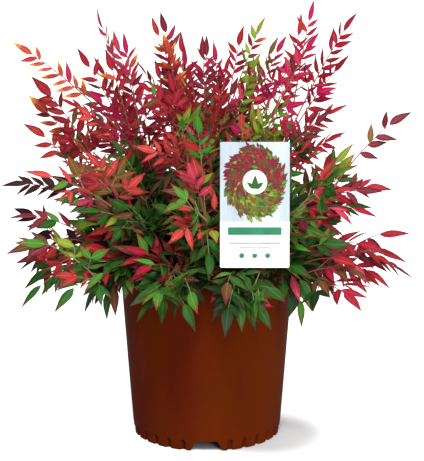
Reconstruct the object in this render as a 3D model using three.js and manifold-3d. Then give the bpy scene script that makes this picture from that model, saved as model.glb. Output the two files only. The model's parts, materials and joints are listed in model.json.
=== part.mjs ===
// A heavenly bamboo (Nandina domestica), a dense dwarf form in autumn red, growing in a nursery pot
// with a plant label on a bent stake. Millimetres, +Z up, the front towards -Y. The origin is the
// centre of the pot's flat underside.
//
// The plant is one clump. Its canes fan out from the soil in four tiers, and each cane carries one mass
// of foliage. A mass is a shoot with fronds along it, and a frond is a slim stalk with opposite pairs of
// leaves and one at its end. Every mass has its own direction from the heart of the clump and keeps to
// the space that is nearer to it than to any other, so that no two masses touch.

import * as THREE from "three";
import { mergeVertices } from "three/addons/utils/BufferGeometryUtils.js";
import Module from "manifold-3d";

const wasm = await Module();
wasm.setup();

const GAP = 0.3; // between pieces that rest on each other
const SLIVER = 0.02; // details finer than this are smoothed away where solids are fused
const UP = new THREE.Vector3(0, 0, 1);
const { degToRad, lerp } = THREE.MathUtils;

// ---------------------------------------------------------------- driving dimensions

const POT = {
  height: 215,
  footRadius: 94,
  taper: 0.0727, // how much the wall's radius grows for each millimetre of height
  wall: 1.8,
  lipHeight: 16,
  lipReach: 3.4, // how far the rolled lip stands out of the wall
  floorTop: 15,
  recessTop: 12.6, // the underside is raised between the foot ring and the middle pad
  recessFrom: 34,
  recessTo: 82,
  segments: 48,
};
const FLUTES = { pitch: 12, width: 6.5, depth: 2.2, height: 13 }; // dents round the foot
const DRAINS = { count: 4, topWidth: 27, footWidth: 40, height: 12.4, inner: 74 };

const SOIL = { top: 195, flatRadius: 74, edgeDrop: 4, segments: 24, clearance: 0.4 };

const LABEL = {
  width: 80,
  height: 145,
  thickness: 1,
  corner: 2.5,
  lean: 6, // degrees from upright, the top towards the plant
  bottom: new THREE.Vector3(56, -148, 243.5), // the middle of the card's lower edge
};
// The stake rises from the soil, bends forward over the rim and runs up the card's back.
const STAKE = {
  width: 11,
  thickness: 1.3,
  bends: [[-76, 140], [-77, 198], [-87, 227], [-124, 247]], // [y, z] from its foot upwards
  onCard: [14, 34, 80], // up the card from its lower edge
  steps: 16,
};

// A limb is a curve from its foot on the soil to its tip, and caneShare of it is the woody cane.
const LIMB = { caneShare: 0.4, reachShare: 0.62 };
const CANE = { flareRadius: 6.4, footRadius: 4.2, tipRadius: 3.2, flareShare: 0.1, sides: 5, steps: 2 };
const SHOOT = { footRadius: 3.4, tipRadius: 3, steps: 3 };
const STALK = { footRadius: 1.4, tipRadius: 1.4, steps: 2 };
const TWIG_SIDES = 3;
const LEAF = {
  length: 58,
  width: 19,
  thickness: 1.4,
  widest: 0.4, // share of the length
  fold: 1.2, // how far the edges hang below the midrib
  sunk: 0.2, // how far the root passes the stalk's own middle
  stagger: 0.02, // half the way between the leaves of a pair, as a share of the stalk
};

// The heart of the clump, from which leans and reaches are measured, and the crown's outline as
// [lean from upright in degrees, reach].
const HEART = new THREE.Vector3(0, 0, 190);
const OUTLINE = [
  [0, 305], [12, 330], [22, 355], [38, 352], [48, 318], [62, 270], [90, 246], [104, 176], [114, 146],
];

// lean is the masses' own direction, foot how far from the middle their canes leave the soil, and arch
// how much their limbs rise on the way. inner is how far out a mass's lowest frond ends, as a share of
// the crown's reach, and droop how much a frond sags, as a share of its length.
const TIERS = [
  { name: "top", masses: 3, phase: 30, lean: 7, foot: 13, arch: 0.05, fronds: 4, inner: 0.6, droop: 0.06 },
  { name: "upper", masses: 7, phase: 0, lean: 29, foot: 31, arch: 0.15, fronds: 5, inner: 0.5, droop: 0.1 },
  { name: "middle", masses: 8, phase: 0, lean: 53, foot: 52, arch: 0.25, fronds: 5, inner: 0.5, droop: 0.16 },
  { name: "skirt", masses: 10, phase: 0, lean: 83, foot: 70, arch: 0.6, fronds: 5, inner: 0.72, droop: 0.24 },
];

// The longest sprays, as [turn round the plant, lean, reach]. A turn of 0 is +X, and 270 the front.
const LEADERS = [
  [165, 12, 340], [350, 12, 342], [270, 1.5, 311], // top
  [157, 24, 372], [194, 37.5, 386], [12, 21, 376], [342, 28.5, 386], // upper
  [4, 49.5, 332], [176, 48, 326], [184, 63, 286], [358, 62, 262], // middle
  [168, 71, 268], [194, 78, 256], [172, 88, 250], [190, 96, 242], [350, 73, 258], [12, 92, 280], // skirt
];

const CLEAR = { space: 2.2, limb: 7, leaf: 10, pot: 3.5, floor: 12, label: 7 };
const VIEW_SLOPE = Math.tan(degToRad(11)); // the label's face is kept in view from a little above it
const GOLDEN = [0.7549, 0.5698]; // steps that spread the fronds evenly over a mass's space
const TRIES = 12;
const LEAST_FROND = 95; // the least length of a frond, from its root to its tip

// ---------------------------------------------------------------- seeded variation

/** A fixed number from -1 to 1 for each set of three keys. */
function vary(a, b, c) {
  const wave = Math.sin(a * 12.9898 + b * 78.233 + c * 37.719) * 43758.5453;
  return 2 * (wave - Math.floor(wave)) - 1;
}

// ---------------------------------------------------------------- solids

/** The geometry with only its places kept and its shared vertices merged, so that it is closed. */
function closed(geometry) {
  const bare = new THREE.BufferGeometry();
  bare.setAttribute("position", geometry.getAttribute("position"));
  if (geometry.index) bare.setIndex(geometry.index);
  return mergeVertices(bare, 1e-3);
}

function solidOf(geometry) {
  const { attributes, index } = closed(geometry);
  return new wasm.Manifold(
    new wasm.Mesh({
      numProp: 3,
      vertProperties: new Float32Array(attributes.position.array),
      triVerts: new Uint32Array(index.array),
    }),
  );
}

function geometryOf(solid) {
  const { numProp, vertProperties, triVerts } = solid.getMesh();
  const places = new Float32Array((vertProperties.length / numProp) * 3);
  for (let i = 0; i < places.length / 3; i++) {
    places.set(vertProperties.subarray(i * numProp, i * numProp + 3), i * 3);
  }
  const geometry = new THREE.BufferGeometry();
  geometry.setAttribute("position", new THREE.BufferAttribute(places, 3));
  geometry.setIndex(new THREE.BufferAttribute(triVerts, 1));
  geometry.computeVertexNormals();
  return geometry;
}

/** Moves each vertex of a closed geometry to place(x, y, z). */
function reshaped(geometry, place) {
  const shape = closed(geometry);
  const at = shape.getAttribute("position");
  for (let i = 0; i < at.count; i++) {
    const { x, y, z } = place(at.getX(i), at.getY(i), at.getZ(i));
    at.setXYZ(i, x, y, z);
  }
  return shape;
}

/** The places of a curve between two shares of it, and the way it heads at each. */
function stretch(curve, from, to, steps) {
  return Array.from({ length: steps + 1 }, (_, i) => {
    const share = lerp(from, to, i / steps);
    return { place: curve.getPoint(share), way: curve.getTangent(share) };
  });
}

/** The place at a share of the way along a stretch. */
function placeOn(stations, share) {
  const at = share * (stations.length - 1);
  const i = Math.min(Math.floor(at), stations.length - 2);
  return stations[i].place.clone().lerp(stations[i + 1].place, at - i);
}

/** A closed tube along a stretch, with a number of flat sides turned by roll, and radius(i) at place i. */
function tube(stations, radius, sides, roll = 0) {
  const steps = stations.length - 1;
  const across = new THREE.Vector3(1, 0, 0);
  if (Math.abs(stations[0].way.x) > 0.8) across.set(0, 1, 0);
  const prism = new THREE.CylinderGeometry(1, 1, 1, sides, steps, false, roll);
  return reshaped(prism, (x, y, z) => {
    const i = Math.round((y + 0.5) * steps);
    const { place, way } = stations[i];
    const first = across.clone().cross(way).normalize();
    const second = first.clone().cross(way);
    return place.clone().addScaledVector(first, x * radius(i)).addScaledVector(second, z * radius(i));
  });
}

// ---------------------------------------------------------------- pot and soil

const wallRadius = (z) => POT.footRadius + POT.taper * z;
const lipRadius = wallRadius(POT.height) + POT.lipReach;

function potBody() {
  const { height, footRadius, wall, lipHeight, floorTop, recessTop, recessFrom, recessTo } = POT;
  const lipFoot = height - lipHeight;
  const profile = [
    [0, 0],
    [recessFrom, 0],
    [recessFrom + 2, recessTop],
    [recessTo - 2, recessTop],
    [recessTo, 0],
    [footRadius, 0],
    [wallRadius(lipFoot), lipFoot],
    [lipRadius, lipFoot + 2],
    [lipRadius, height],
    [wallRadius(height) - wall, height],
    [wallRadius(floorTop) - wall, floorTop],
    [0, floorTop],
  ].map(([r, z]) => new THREE.Vector2(r, z));
  return solidOf(new THREE.LatheGeometry(profile, POT.segments).rotateX(Math.PI / 2));
}

/** The cutter of one drain: a trapezoid through the foot ring, facing +X. */
function drainCutter() {
  const { topWidth, footWidth, height, inner } = DRAINS;
  const outline = new THREE.Shape();
  outline.moveTo(-footWidth / 2, -1).lineTo(footWidth / 2, -1);
  outline.lineTo(topWidth / 2, height).lineTo(-topWidth / 2, height);
  return new THREE.ExtrudeGeometry(outline, { depth: 40, bevelEnabled: false })
    .rotateX(Math.PI / 2)
    .rotateZ(Math.PI / 2)
    .translate(inner, 0, 0);
}

function pot() {
  let body = potBody();
  for (let i = 0; i < DRAINS.count; i++) {
    body = body.subtract(solidOf(drainCutter().rotateZ(degToRad(90 * i))));
  }
  const { pitch, width, depth, height } = FLUTES;
  for (let turn = 0; turn < 360; turn += pitch) {
    if (turn % 90 < pitch || turn % 90 > 90 - pitch) continue; // a drain is there
    const dent = new THREE.BoxGeometry(2 * depth, width, 2 * height).translate(POT.footRadius, 0, 0);
    body = body.subtract(solidOf(dent.rotateY(Math.atan(POT.taper)).rotateZ(degToRad(turn))));
  }
  return body;
}

function soil() {
  const { top, flatRadius, edgeDrop, segments, clearance } = SOIL;
  const insideRadius = (z) => wallRadius(z) - POT.wall - clearance;
  const bottom = POT.floorTop + GAP;
  const profile = [
    [0, bottom],
    [insideRadius(bottom) - 1.5, bottom],
    [insideRadius(top - edgeDrop), top - edgeDrop],
    [flatRadius, top],
    [0, top],
  ].map(([r, z]) => new THREE.Vector2(r, z));
  const body = solidOf(new THREE.LatheGeometry(profile, segments).rotateX(Math.PI / 2));
  return body.subtract(solidOf(stakeStrip(GAP)));
}

// ---------------------------------------------------------------- label

/** A place on the card: across from its middle, up from its lower edge and out from its back. */
function onCard(across, up, out) {
  const lean = degToRad(LABEL.lean);
  return new THREE.Vector3(
    LABEL.bottom.x + across,
    LABEL.bottom.y + up * Math.sin(lean) - out * Math.cos(lean),
    LABEL.bottom.z + up * Math.cos(lean) + out * Math.sin(lean),
  );
}

function card() {
  const { width, height, corner, thickness } = LABEL;
  const half = width / 2;
  const outline = new THREE.Shape();
  outline.moveTo(corner - half, 0);
  outline.lineTo(half - corner, 0).quadraticCurveTo(half, 0, half, corner);
  outline.lineTo(half, height - corner).quadraticCurveTo(half, height, half - corner, height);
  outline.lineTo(corner - half, height).quadraticCurveTo(-half, height, -half, height - corner);
  outline.lineTo(-half, corner).quadraticCurveTo(-half, 0, corner - half, 0);
  const options = { depth: thickness, bevelEnabled: false, curveSegments: 2 };
  return reshaped(new THREE.ExtrudeGeometry(outline, options), (x, y, z) => onCard(x, y, z));
}

/** The middle line of the stake, from its foot in the soil to its end on the card's back. */
function stakePath() {
  const bends = STAKE.bends.map(([y, z]) => new THREE.Vector3(LABEL.bottom.x, y, z));
  bends.push(...STAKE.onCard.map((up) => onCard(0, up, 0)));
  return new THREE.CatmullRomCurve3(bends, false, "centripetal");
}

/** The stake as a flat strip, with room on all sides of it where a hole for it is cut. */
function stakeStrip(room) {
  const half = STAKE.width / 2 + room;
  const thick = STAKE.thickness / 2 + room;
  const section = new THREE.Shape();
  section.moveTo(-half, -thick).lineTo(half, -thick).lineTo(half, thick).lineTo(-half, thick);
  return new THREE.ExtrudeGeometry(section, { extrudePath: stakePath(), steps: STAKE.steps });
}

function plantLabel() {
  return solidOf(card()).add(solidOf(stakeStrip(0)));
}

// ---------------------------------------------------------------- the crown's spaces

/** The way that turn and lean point to, both in degrees. */
function heading(turn, lean) {
  const [round, tilt] = [degToRad(turn), degToRad(lean)];
  return new THREE.Vector3(
    Math.sin(tilt) * Math.cos(round),
    Math.sin(tilt) * Math.sin(round),
    Math.cos(tilt),
  );
}

/** How far the crown reaches from its heart at a lean. */
function outline(lean) {
  const next = Math.max(1, OUTLINE.findIndex(([l]) => l >= lean));
  const [[l0, r0], [l1, r1]] = OUTLINE.slice(next - 1, next + 1);
  return lerp(r0, r1, (lean - l0) / (l1 - l0));
}

/** The place at a turn, a lean and a reach from the heart. */
function inCrown(turn, lean, reach) {
  return heading(turn, lean).multiplyScalar(reach).add(HEART);
}

/** How far a place is inside a mass's own space: the least distance to the planes that bound it. */
function depthInSpace(place, mass, masses) {
  const from = place.clone().sub(HEART);
  const sides = masses.filter((m) => m !== mass).map(({ own }) => mass.own.clone().sub(own).normalize());
  return Math.min(...sides.map((side) => side.dot(from)));
}

const spread = (p) => Math.hypot(p.x, p.y);

/** Whether a place is clear of the pot, the soil and the ground. */
function clearOfPot(p) {
  if (p.z > POT.height + CLEAR.pot) return true;
  if (p.z > CLEAR.floor && spread(p) > lipRadius + CLEAR.pot) return true;
  return p.z > SOIL.top + CLEAR.pot && spread(p) < wallRadius(SOIL.top) - POT.wall - CLEAR.pot;
}

/** Whether a place is clear of the label, and of the view onto its face. */
function clearOfLabel(p) {
  const { width, height, bottom, lean } = LABEL;
  const ahead = bottom.y + (p.z - bottom.z) * Math.tan(degToRad(lean)) - p.y;
  const seenAt = p.z - Math.max(0, ahead) * VIEW_SLOPE;
  const beside = Math.abs(p.x - bottom.x) > width / 2 + CLEAR.label;
  const above = Math.abs(seenAt - bottom.z - height / 2) > height / 2 + CLEAR.label;
  return beside || above || ahead < -CLEAR.label;
}

/** How far a place is from the middle line of a stretch. */
function distanceTo(p, stations) {
  const nearest = new THREE.Vector3();
  const line = new THREE.Line3();
  const distances = stations.slice(1).map(({ place }, i) => {
    line.set(stations[i].place, place).closestPointToPoint(p, true, nearest);
    return nearest.distanceTo(p);
  });
  return Math.min(...distances);
}

// ---------------------------------------------------------------- limbs and fronds

/** Every mass with its own direction, its cane and its shoot, from the top tier to the skirt. */
function plan() {
  const masses = [];
  for (const tier of TIERS) {
    for (let i = 0; i < tier.masses; i++) {
      const key = masses.length + 1;
      const turn = (tier.phase + (360 * i) / tier.masses) % 360;
      const foot = heading(turn, 90).multiplyScalar(tier.foot).setZ(SOIL.top + GAP);
      const reach = LIMB.reachShare * outline(tier.lean) * (1 + 0.05 * vary(key, 0, 1));
      const tip = inCrown(turn, tier.lean, reach);
      const bend = foot.clone().lerp(tip, 0.4).addScaledVector(UP, tier.arch * tip.distanceTo(foot));
      const limb = new THREE.QuadraticBezierCurve3(foot, bend, tip);
      const cane = stretch(limb, 0, LIMB.caneShare, CANE.steps);
      const shoot = stretch(limb, LIMB.caneShare, 1, SHOOT.steps);
      shoot[0].place.addScaledVector(shoot[0].way, GAP);
      masses.push({ key, tier, turn, number: i + 1, own: heading(turn, tier.lean), limb, cane, shoot });
    }
  }
  return masses;
}

/** The sprays of LEADERS that lie in a mass's space. */
function leadersOf(mass, masses) {
  const tips = LEADERS.map((spray) => inCrown(...spray));
  return tips.filter((tip) => depthInSpace(tip, mass, masses) > 0);
}

/** Where a frond's tip is to be: spread evenly over the mass's space, and further out along the shoot. */
function tipPlace(mass, number, attempt) {
  const { tier, turn, key } = mass;
  const step = number + attempt * tier.fronds + key;
  const [u, v] = GOLDEN.map((golden) => (0.5 + golden * step) % 1);
  const [from, to] = leanRange(tier);
  const lean = lerp(from, to, v);
  const off = ((u - 0.5) * 1.7 * 180) / tier.masses;
  const share = lerp(tier.inner, 1, number / (tier.fronds - 1)) * (1 + 0.04 * vary(key, number, 2));
  return inCrown(turn + off, lean, outline(lean) * share);
}

/** The leans between which a tier's fronds end, a little inside its bounds. */
function leanRange(tier) {
  const at = TIERS.indexOf(tier);
  const inner = at === 0 ? 0 : (TIERS[at - 1].lean + tier.lean) / 2 + 3;
  const outer = at === TIERS.length - 1 ? 111 : (TIERS[at + 1].lean + tier.lean) / 2 - 3;
  return [inner, outer];
}

/** The curve of a frond, from its root on the shoot to the tip of its last leaf. */
function frondCurve(mass, number, tip) {
  const share = lerp(LIMB.caneShare + 0.06, 0.99, number / (mass.tier.fronds - 1));
  const root = mass.limb.getPoint(share);
  const way = tip.clone().sub(root);
  way.setLength(Math.max(way.length(), LEAST_FROND));
  const bend = root.clone().addScaledVector(way, 0.5).addScaledVector(UP, mass.tier.droop * way.length());
  return new THREE.QuadraticBezierCurve3(root, bend, way.add(root));
}

/** A leaf's five corners: base, tip, the two edges, and the top of its midrib. */
function leafCorners(base, way, face, length) {
  const side = way.clone().cross(face);
  const at = (share, across, rise) => {
    const place = base.clone().addScaledVector(way, share * length);
    return place.addScaledVector(side, across).addScaledVector(face, rise);
  };
  const half = LEAF.width / 2;
  return {
    base: at(-LEAF.sunk / length, 0, 0),
    tip: at(1, 0, 0),
    right: at(LEAF.widest, half, -LEAF.fold),
    left: at(LEAF.widest, -half, -LEAF.fold),
    top: at(LEAF.widest - 0.04, 0, LEAF.thickness - LEAF.fold),
  };
}

/** A frond's stalk and leaves: opposite pairs along the stalk, and one at its end. */
function frond(curve, mass, number) {
  const reach = 1 - LEAF.length / curve.getLength();
  const stalk = stretch(curve, 0, reach, STALK.steps);
  const outward = curve.v2.clone().sub(HEART).setZ(0).normalize();
  const roll = degToRad(45 * vary(mass.key, number, 3));
  const leafAt = (share, opening, size, key) => {
    const way = curve.getTangent(share * reach);
    const face = outward.clone().multiplyScalar(0.7).addScaledVector(UP, 0.8);
    face.addScaledVector(way, -face.dot(way)).normalize().applyAxisAngle(way, roll);
    const open = degToRad(opening * (1 + 0.12 * vary(mass.key, number, key)));
    const leafWay = way.clone().applyAxisAngle(face, open).addScaledVector(UP, -0.08).normalize();
    face.addScaledVector(leafWay, -face.dot(leafWay)).normalize();
    const length = LEAF.length * size * (1 + 0.08 * vary(mass.key, number, key + 0.5));
    return leafCorners(placeOn(stalk, share), leafWay, face, length);
  };
  const end = leafAt(0.98, 0, 1, 10);
  end.tip.copy(curve.v2);
  const pairs = [[0.5, 50], [0.86, 44]].flatMap(([share, opening], pair) =>
    [-1, 1].map((hand) => {
      return leafAt(share + hand * LEAF.stagger, hand * opening, 0.94, 20 + 4 * pair + hand);
    }),
  );
  return { stalk, leaves: [end, ...pairs] };
}

// ---------------------------------------------------------------- masses of foliage

const middleOf = (a, b, share = 0.5) => a.clone().lerp(b, share);

/** Places along a leaf's midrib, by which leaves that crowd each other are found. */
function midrib({ base, tip }) {
  return [0.2, 0.45, 0.7, 0.95].map((share) => middleOf(base, tip, share));
}

/** The leaves that neither crowd nor cross the ones that are taken, or each other. */
function freeLeaves(leaves, taken) {
  const free = [];
  for (const leaf of leaves) {
    const spots = midrib(leaf);
    const solid = leafSolid(leaf);
    const isClear = (other) =>
      spots.every((p) => midrib(other.leaf).every((q) => p.distanceTo(q) > CLEAR.leaf)) &&
      other.solid.intersect(solid).isEmpty();
    if ([...taken, ...free].every(isClear)) free.push({ leaf, solid });
  }
  return free;
}

/** A mass's fronds, each the best of a few tries, with only the leaves that have room. */
function growFronds(mass, masses, limbs) {
  const hasRoom = (p) =>
    depthInSpace(p, mass, masses) > CLEAR.space &&
    clearOfPot(p) &&
    clearOfLabel(p) &&
    limbs.every((limb) => distanceTo(p, limb) > CLEAR.limb);
  const leafHasRoom = ({ base, tip, right, left }) =>
    [right, left, tip, middleOf(right, tip), middleOf(left, tip), middleOf(base, tip)].every(hasRoom);
  const taken = [];
  const leaders = leadersOf(mass, masses);
  const fronds = [];
  for (let number = mass.tier.fronds - 1; number >= 0; number--) {
    const leader = leaders[mass.tier.fronds - 1 - number];
    let best = { leaves: [] };
    for (let attempt = 0; attempt < (leader ? 1 : TRIES); attempt++) {
      const tip = leader ?? tipPlace(mass, number, attempt);
      const { stalk, leaves } = frond(frondCurve(mass, number, tip), mass, number);
      if (!stalk.slice(1).every(({ place }) => hasRoom(place))) continue;
      const free = freeLeaves(leaves.filter(leafHasRoom), taken);
      if (free.length > best.leaves.length) best = { stalk, leaves: free };
      if (free.length === leaves.length) break;
    }
    if (!best.stalk) continue;
    taken.push(...best.leaves);
    fronds.push(best);
  }
  return fronds;
}

/** A leaf's solid: its five corners as a hull of six faces. */
function leafSolid({ base, tip, right, left, top }) {
  const faces = [base, right, top, base, top, left, base, left, right];
  faces.push(tip, top, right, tip, left, top, tip, right, left);
  return solidOf(new THREE.BufferGeometry().setFromPoints(faces));
}

/** The radius at each place of a limb that narrows evenly over a number of steps. */
function taper({ footRadius, tipRadius, steps }) {
  return (i) => lerp(footRadius, tipRadius, i / steps);
}

/** A mass as one solid: its shoot, with every stalk and leaf fused on. */
function foliage(mass, masses, limbs) {
  const solids = [solidOf(tube(mass.shoot, taper(SHOOT), TWIG_SIDES))];
  growFronds(mass, masses, limbs).forEach(({ stalk, leaves }, i) => {
    const roll = i + 1; // so that no stalk's side lies flush with the shoot's
    solids.push(solidOf(tube(stalk, taper(STALK), TWIG_SIDES, roll)), ...leaves.map(({ solid }) => solid));
  });
  const fused = wasm.Manifold.union(solids).simplify(SLIVER);
  return fused.decompose().sort((a, b) => b.volume() - a.volume())[0];
}

/** A cane, from a flat cut and a flare at the soil to its tip. */
function caneSolid({ limb, cane }) {
  const [foot, ...rest] = cane;
  const [aboveFlare] = stretch(limb, CANE.flareShare * LIMB.caneShare, 1, 1);
  const buried = { place: foot.place.clone().addScaledVector(foot.way, -CANE.flareRadius), way: foot.way };
  const radius = (i) => (i < 2 ? CANE.flareRadius : taper(CANE)(i - 2));
  const body = solidOf(tube([buried, foot, aboveFlare, ...rest], radius, CANE.sides));
  const ground = new THREE.BoxGeometry(400, 400, 40).translate(0, 0, foot.place.z - 20);
  return body.subtract(solidOf(ground)).simplify(SLIVER);
}

// ---------------------------------------------------------------- assembly

const FINISH = {
  pot: { color: 0x6e2f1a, roughness: 0.42, metalness: 0 },
  soil: { color: 0x2e2019, roughness: 1, metalness: 0 },
  label: { color: 0xf4f4ef, roughness: 0.35, metalness: 0 },
  cane: { color: 0x6b4a34, roughness: 0.8, metalness: 0 },
  top: { color: 0xb92a4c, roughness: 0.5, metalness: 0 },
  upper: { color: 0xb52b45, roughness: 0.5, metalness: 0 },
  middle: { color: 0xa83a38, roughness: 0.5, metalness: 0 },
  skirt: { color: 0x4c7434, roughness: 0.5, metalness: 0 },
};
const FINISHES = Object.fromEntries(
  Object.entries(FINISH).map(([name, values]) => [name, new THREE.MeshStandardMaterial(values)]),
);

function piece(name, solid, finish) {
  const mesh = new THREE.Mesh(geometryOf(solid), FINISHES[finish]);
  mesh.name = name;
  return mesh;
}

const container = new THREE.Group();
container.add(piece("pot", pot(), "pot"), piece("soil", soil(), "soil"));

const plant = new THREE.Group();
const masses = plan();
const stakeEdges = [-1, 1].map((hand) => {
  const edge = stretch(stakePath(), 0, 1, STAKE.steps);
  edge.forEach(({ place }) => place.setX(place.x + (hand * STAKE.width) / 3));
  return edge;
});
for (const mass of masses) {
  const place = `${mass.tier.name}_${mass.number}`;
  const others = masses.filter((m) => m !== mass).map(({ cane }) => cane);
  plant.add(piece(`cane_${place}`, caneSolid(mass), "cane"));
  plant.add(piece(`foliage_${place}`, foliage(mass, masses, [...others, ...stakeEdges]), mass.tier.name));
}

const root = new THREE.Group();
root.add(container, piece("label", plantLabel(), "label"), plant);
export default root;
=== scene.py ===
"""The looks of a heavenly bamboo in its nursery pot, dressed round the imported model.

The plant grows here by the rule that its solids follow, with the same seeds: canes fan out from the soil
in four tiers, each carries one mass of foliage, and a mass is a shoot with fronds along it. Where a solid
has one large leaf, a whole pinna of small leaflets grows, and finer fronds fill the inside of each mass.

Lengths are millimetres until a mesh is made, +Z is up, and the front looks towards -Y.
"""

from __future__ import annotations

import json
import logging
import math
from dataclasses import dataclass, field
from enum import Enum
from typing import Iterable, Sequence

import bmesh
import bpy
import numpy as np
from bpy.types import Collection, Material, Mesh, Node, NodeSocket, NodeTree, Object
from mathutils import Matrix, Quaternion, Vector

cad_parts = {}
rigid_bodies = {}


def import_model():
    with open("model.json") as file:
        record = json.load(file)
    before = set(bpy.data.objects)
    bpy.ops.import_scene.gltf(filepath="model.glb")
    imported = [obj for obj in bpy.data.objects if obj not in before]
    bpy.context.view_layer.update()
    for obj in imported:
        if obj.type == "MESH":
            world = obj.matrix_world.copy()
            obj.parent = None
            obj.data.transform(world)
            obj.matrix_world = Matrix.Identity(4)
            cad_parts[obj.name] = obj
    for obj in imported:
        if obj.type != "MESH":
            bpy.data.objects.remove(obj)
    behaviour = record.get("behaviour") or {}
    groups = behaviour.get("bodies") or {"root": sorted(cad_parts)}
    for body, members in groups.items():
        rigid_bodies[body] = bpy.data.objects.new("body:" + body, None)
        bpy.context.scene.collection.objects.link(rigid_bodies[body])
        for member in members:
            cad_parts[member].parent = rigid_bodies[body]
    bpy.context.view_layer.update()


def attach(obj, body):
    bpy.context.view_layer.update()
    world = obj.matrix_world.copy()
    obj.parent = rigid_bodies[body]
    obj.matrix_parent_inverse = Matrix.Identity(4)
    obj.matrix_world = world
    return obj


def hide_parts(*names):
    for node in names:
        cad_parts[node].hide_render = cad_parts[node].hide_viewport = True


log = logging.getLogger("heavenly_bamboo")

MM = 0.001
UP = Vector((0.0, 0.0, 1.0))
BODY = "root"

Colour = tuple[int, int, int]
Outline = Sequence[tuple[float, float]]


# ---------------------------------------------------------------- numbers


def vary(a: float, b: float, c: float) -> float:
    """A fixed number from -1 to 1 for each set of three keys."""
    wave = math.sin(a * 12.9898 + b * 78.233 + c * 37.719) * 43758.5453
    return 2 * (wave - math.floor(wave)) - 1


def lerp(start: float, end: float, share: float) -> float:
    """The number at a share of the way from start to end."""
    return start + (end - start) * share


def bounded(value: float, low: float, high: float) -> float:
    """A number kept between a low and a high one."""
    return min(max(value, low), high)


def spread_out(step: float, golden: float, start: float = 0.5) -> float:
    """The share from 0 to 1 of a step in a series that fills that stretch evenly."""
    return (start + golden * step) % 1


def linear(colour: Colour) -> tuple[float, ...]:
    """A colour of display values from 0 to 255 as a shader's linear values."""
    shares = [value / 255 for value in colour]
    return (*(s / 12.92 if s <= 0.04045 else ((s + 0.055) / 1.055) ** 2.4 for s in shares), 1.0)


def rows(places: Iterable[Vector]) -> np.ndarray:
    """Some places as the rows of an array."""
    return np.array([tuple(place) for place in places])


def disc_outline(x: float, y: float, radius: float, squash: float = 1.0, sides: int = 40) -> Outline:
    """The outline of a disc, or of an oval that is squash times as wide as high."""
    angles = [2 * math.pi * i / sides for i in range(sides)]
    return [(x + squash * radius * math.cos(a), y + radius * math.sin(a)) for a in angles]


def squared(face: Vector, way: Vector) -> Vector:
    """A face made square to a way."""
    return (face - way * face.dot(way)).normalized()


def rotated(way: Vector, axis: Vector, angle: float) -> Vector:
    """A way turned about an axis.

    Args:
        way: The way.
        axis: The axis, of unit length.
        angle: How far it turns, in radians.

    Returns:
        The new way.
    """
    turned = way.copy()
    turned.rotate(Quaternion(axis, angle))
    return turned


def rolled(face: Vector, way: Vector, degrees: float) -> Vector:
    """A face made square to a way and turned about it."""
    return rotated(squared(face, way), way, math.radians(degrees))


def sagging(way: Vector, least: float, more: float, key: float) -> Vector:
    """A way that gravity draws down by a least amount and a share of more."""
    return (way - UP * (least + more * abs(vary(key, 3, 3)))).normalized()


# ---------------------------------------------------------------- trees of nodes


class NodeWriter:
    """Writes the nodes of one tree down in order."""

    def __init__(self, tree: NodeTree) -> None:
        """Takes the tree."""
        self.tree = tree

    @classmethod
    def group(cls, name: str, kind: str, inputs: dict[str, str], outputs: dict[str, str]) -> NodeWriter:
        """Starts a group of nodes.

        Args:
            name: Its name.
            kind: Shader or Geometry.
            inputs: The kind of each of its inputs.
            outputs: And of its outputs.

        Returns:
            Its writer.
        """
        tree = bpy.data.node_groups.new(name, f"{kind}NodeTree")
        for way, sockets in (("INPUT", inputs), ("OUTPUT", outputs)):
            for label, sort in sockets.items():
                tree.interface.new_socket(label, in_out=way, socket_type=f"NodeSocket{sort}")
        return cls(tree)

    def given(self) -> bpy.types.NodeOutputs:
        """What the group is given."""
        return self.tree.nodes.new("NodeGroupInput").outputs

    def add(self, kind: str, settings: dict[str, object] | None = None, *first: object,
            **named: object) -> Node:
        """Adds a node.

        Args:
            kind: The node's type.
            settings: Its own properties.
            *first: What its first inputs in use get, in order: an output to link or a value.
            **named: What other inputs get, named with _ for a space.

        Returns:
            The node.
        """
        node = self.tree.nodes.new(kind)
        for name, value in (settings or {}).items():
            setattr(node, name, value)
        self.fill(node, *first, **named)
        return node

    def fill(self, node: Node, *first: object, **named: object) -> None:
        """Links or sets inputs of a node.

        Args:
            node: The node.
            *first: What its first inputs in use get, in order.
            **named: What other inputs get, named with _ for a space.
        """
        in_use = [socket for socket in node.inputs if socket.enabled]
        by_name = {socket.name: socket for socket in reversed(in_use)}
        pairs = [(by_name[name.replace("_", " ")], value) for name, value in named.items()]
        for socket, value in [*zip(in_use, first), *pairs]:
            if isinstance(value, NodeSocket):
                self.tree.links.new(value, socket)
            else:
                socket.default_value = value

    def value(self, kind: str, settings: dict[str, object] | None = None, *first: object,
              **named: object) -> NodeSocket:
        """Adds a node, as add does, and gives its first output in use."""
        return next(socket for socket in self.add(kind, settings, *first, **named).outputs if socket.enabled)

    def attribute(self, name: str, kind: str) -> NodeSocket:
        """The output that reads a named attribute of the geometry."""
        return self.value("GeometryNodeInputNamedAttribute", {"data_type": kind}, name)

    def chosen(self, name: str, number: int) -> NodeSocket:
        """The output that says where a whole-number attribute has that value."""
        settings = {"data_type": "INT", "operation": "EQUAL"}
        return self.value("FunctionNodeCompare", settings, self.attribute(name, "INT"), number)

    def picked(self, points: NodeSocket, shapes: NodeSocket, **inputs: object) -> NodeSocket:
        """Puts one shape on each point.

        Args:
            points: The points.
            shapes: The collection of shapes.
            **inputs: Other inputs of the node that puts them there.

        Returns:
            The output with the real shapes.
        """
        each = self.value("GeometryNodeCollectionInfo", None, shapes, True, True)
        inputs |= {"Instance": each, "Pick Instance": True}
        laid = self.value("GeometryNodeInstanceOnPoints", None, points, **inputs)
        return self.value("GeometryNodeRealizeInstances", None, laid)

    def ended(self, *last: NodeSocket) -> NodeTree:
        """The group's tree, with its outputs linked in order."""
        self.add("NodeGroupOutput", None, *last)
        return self.tree


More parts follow.
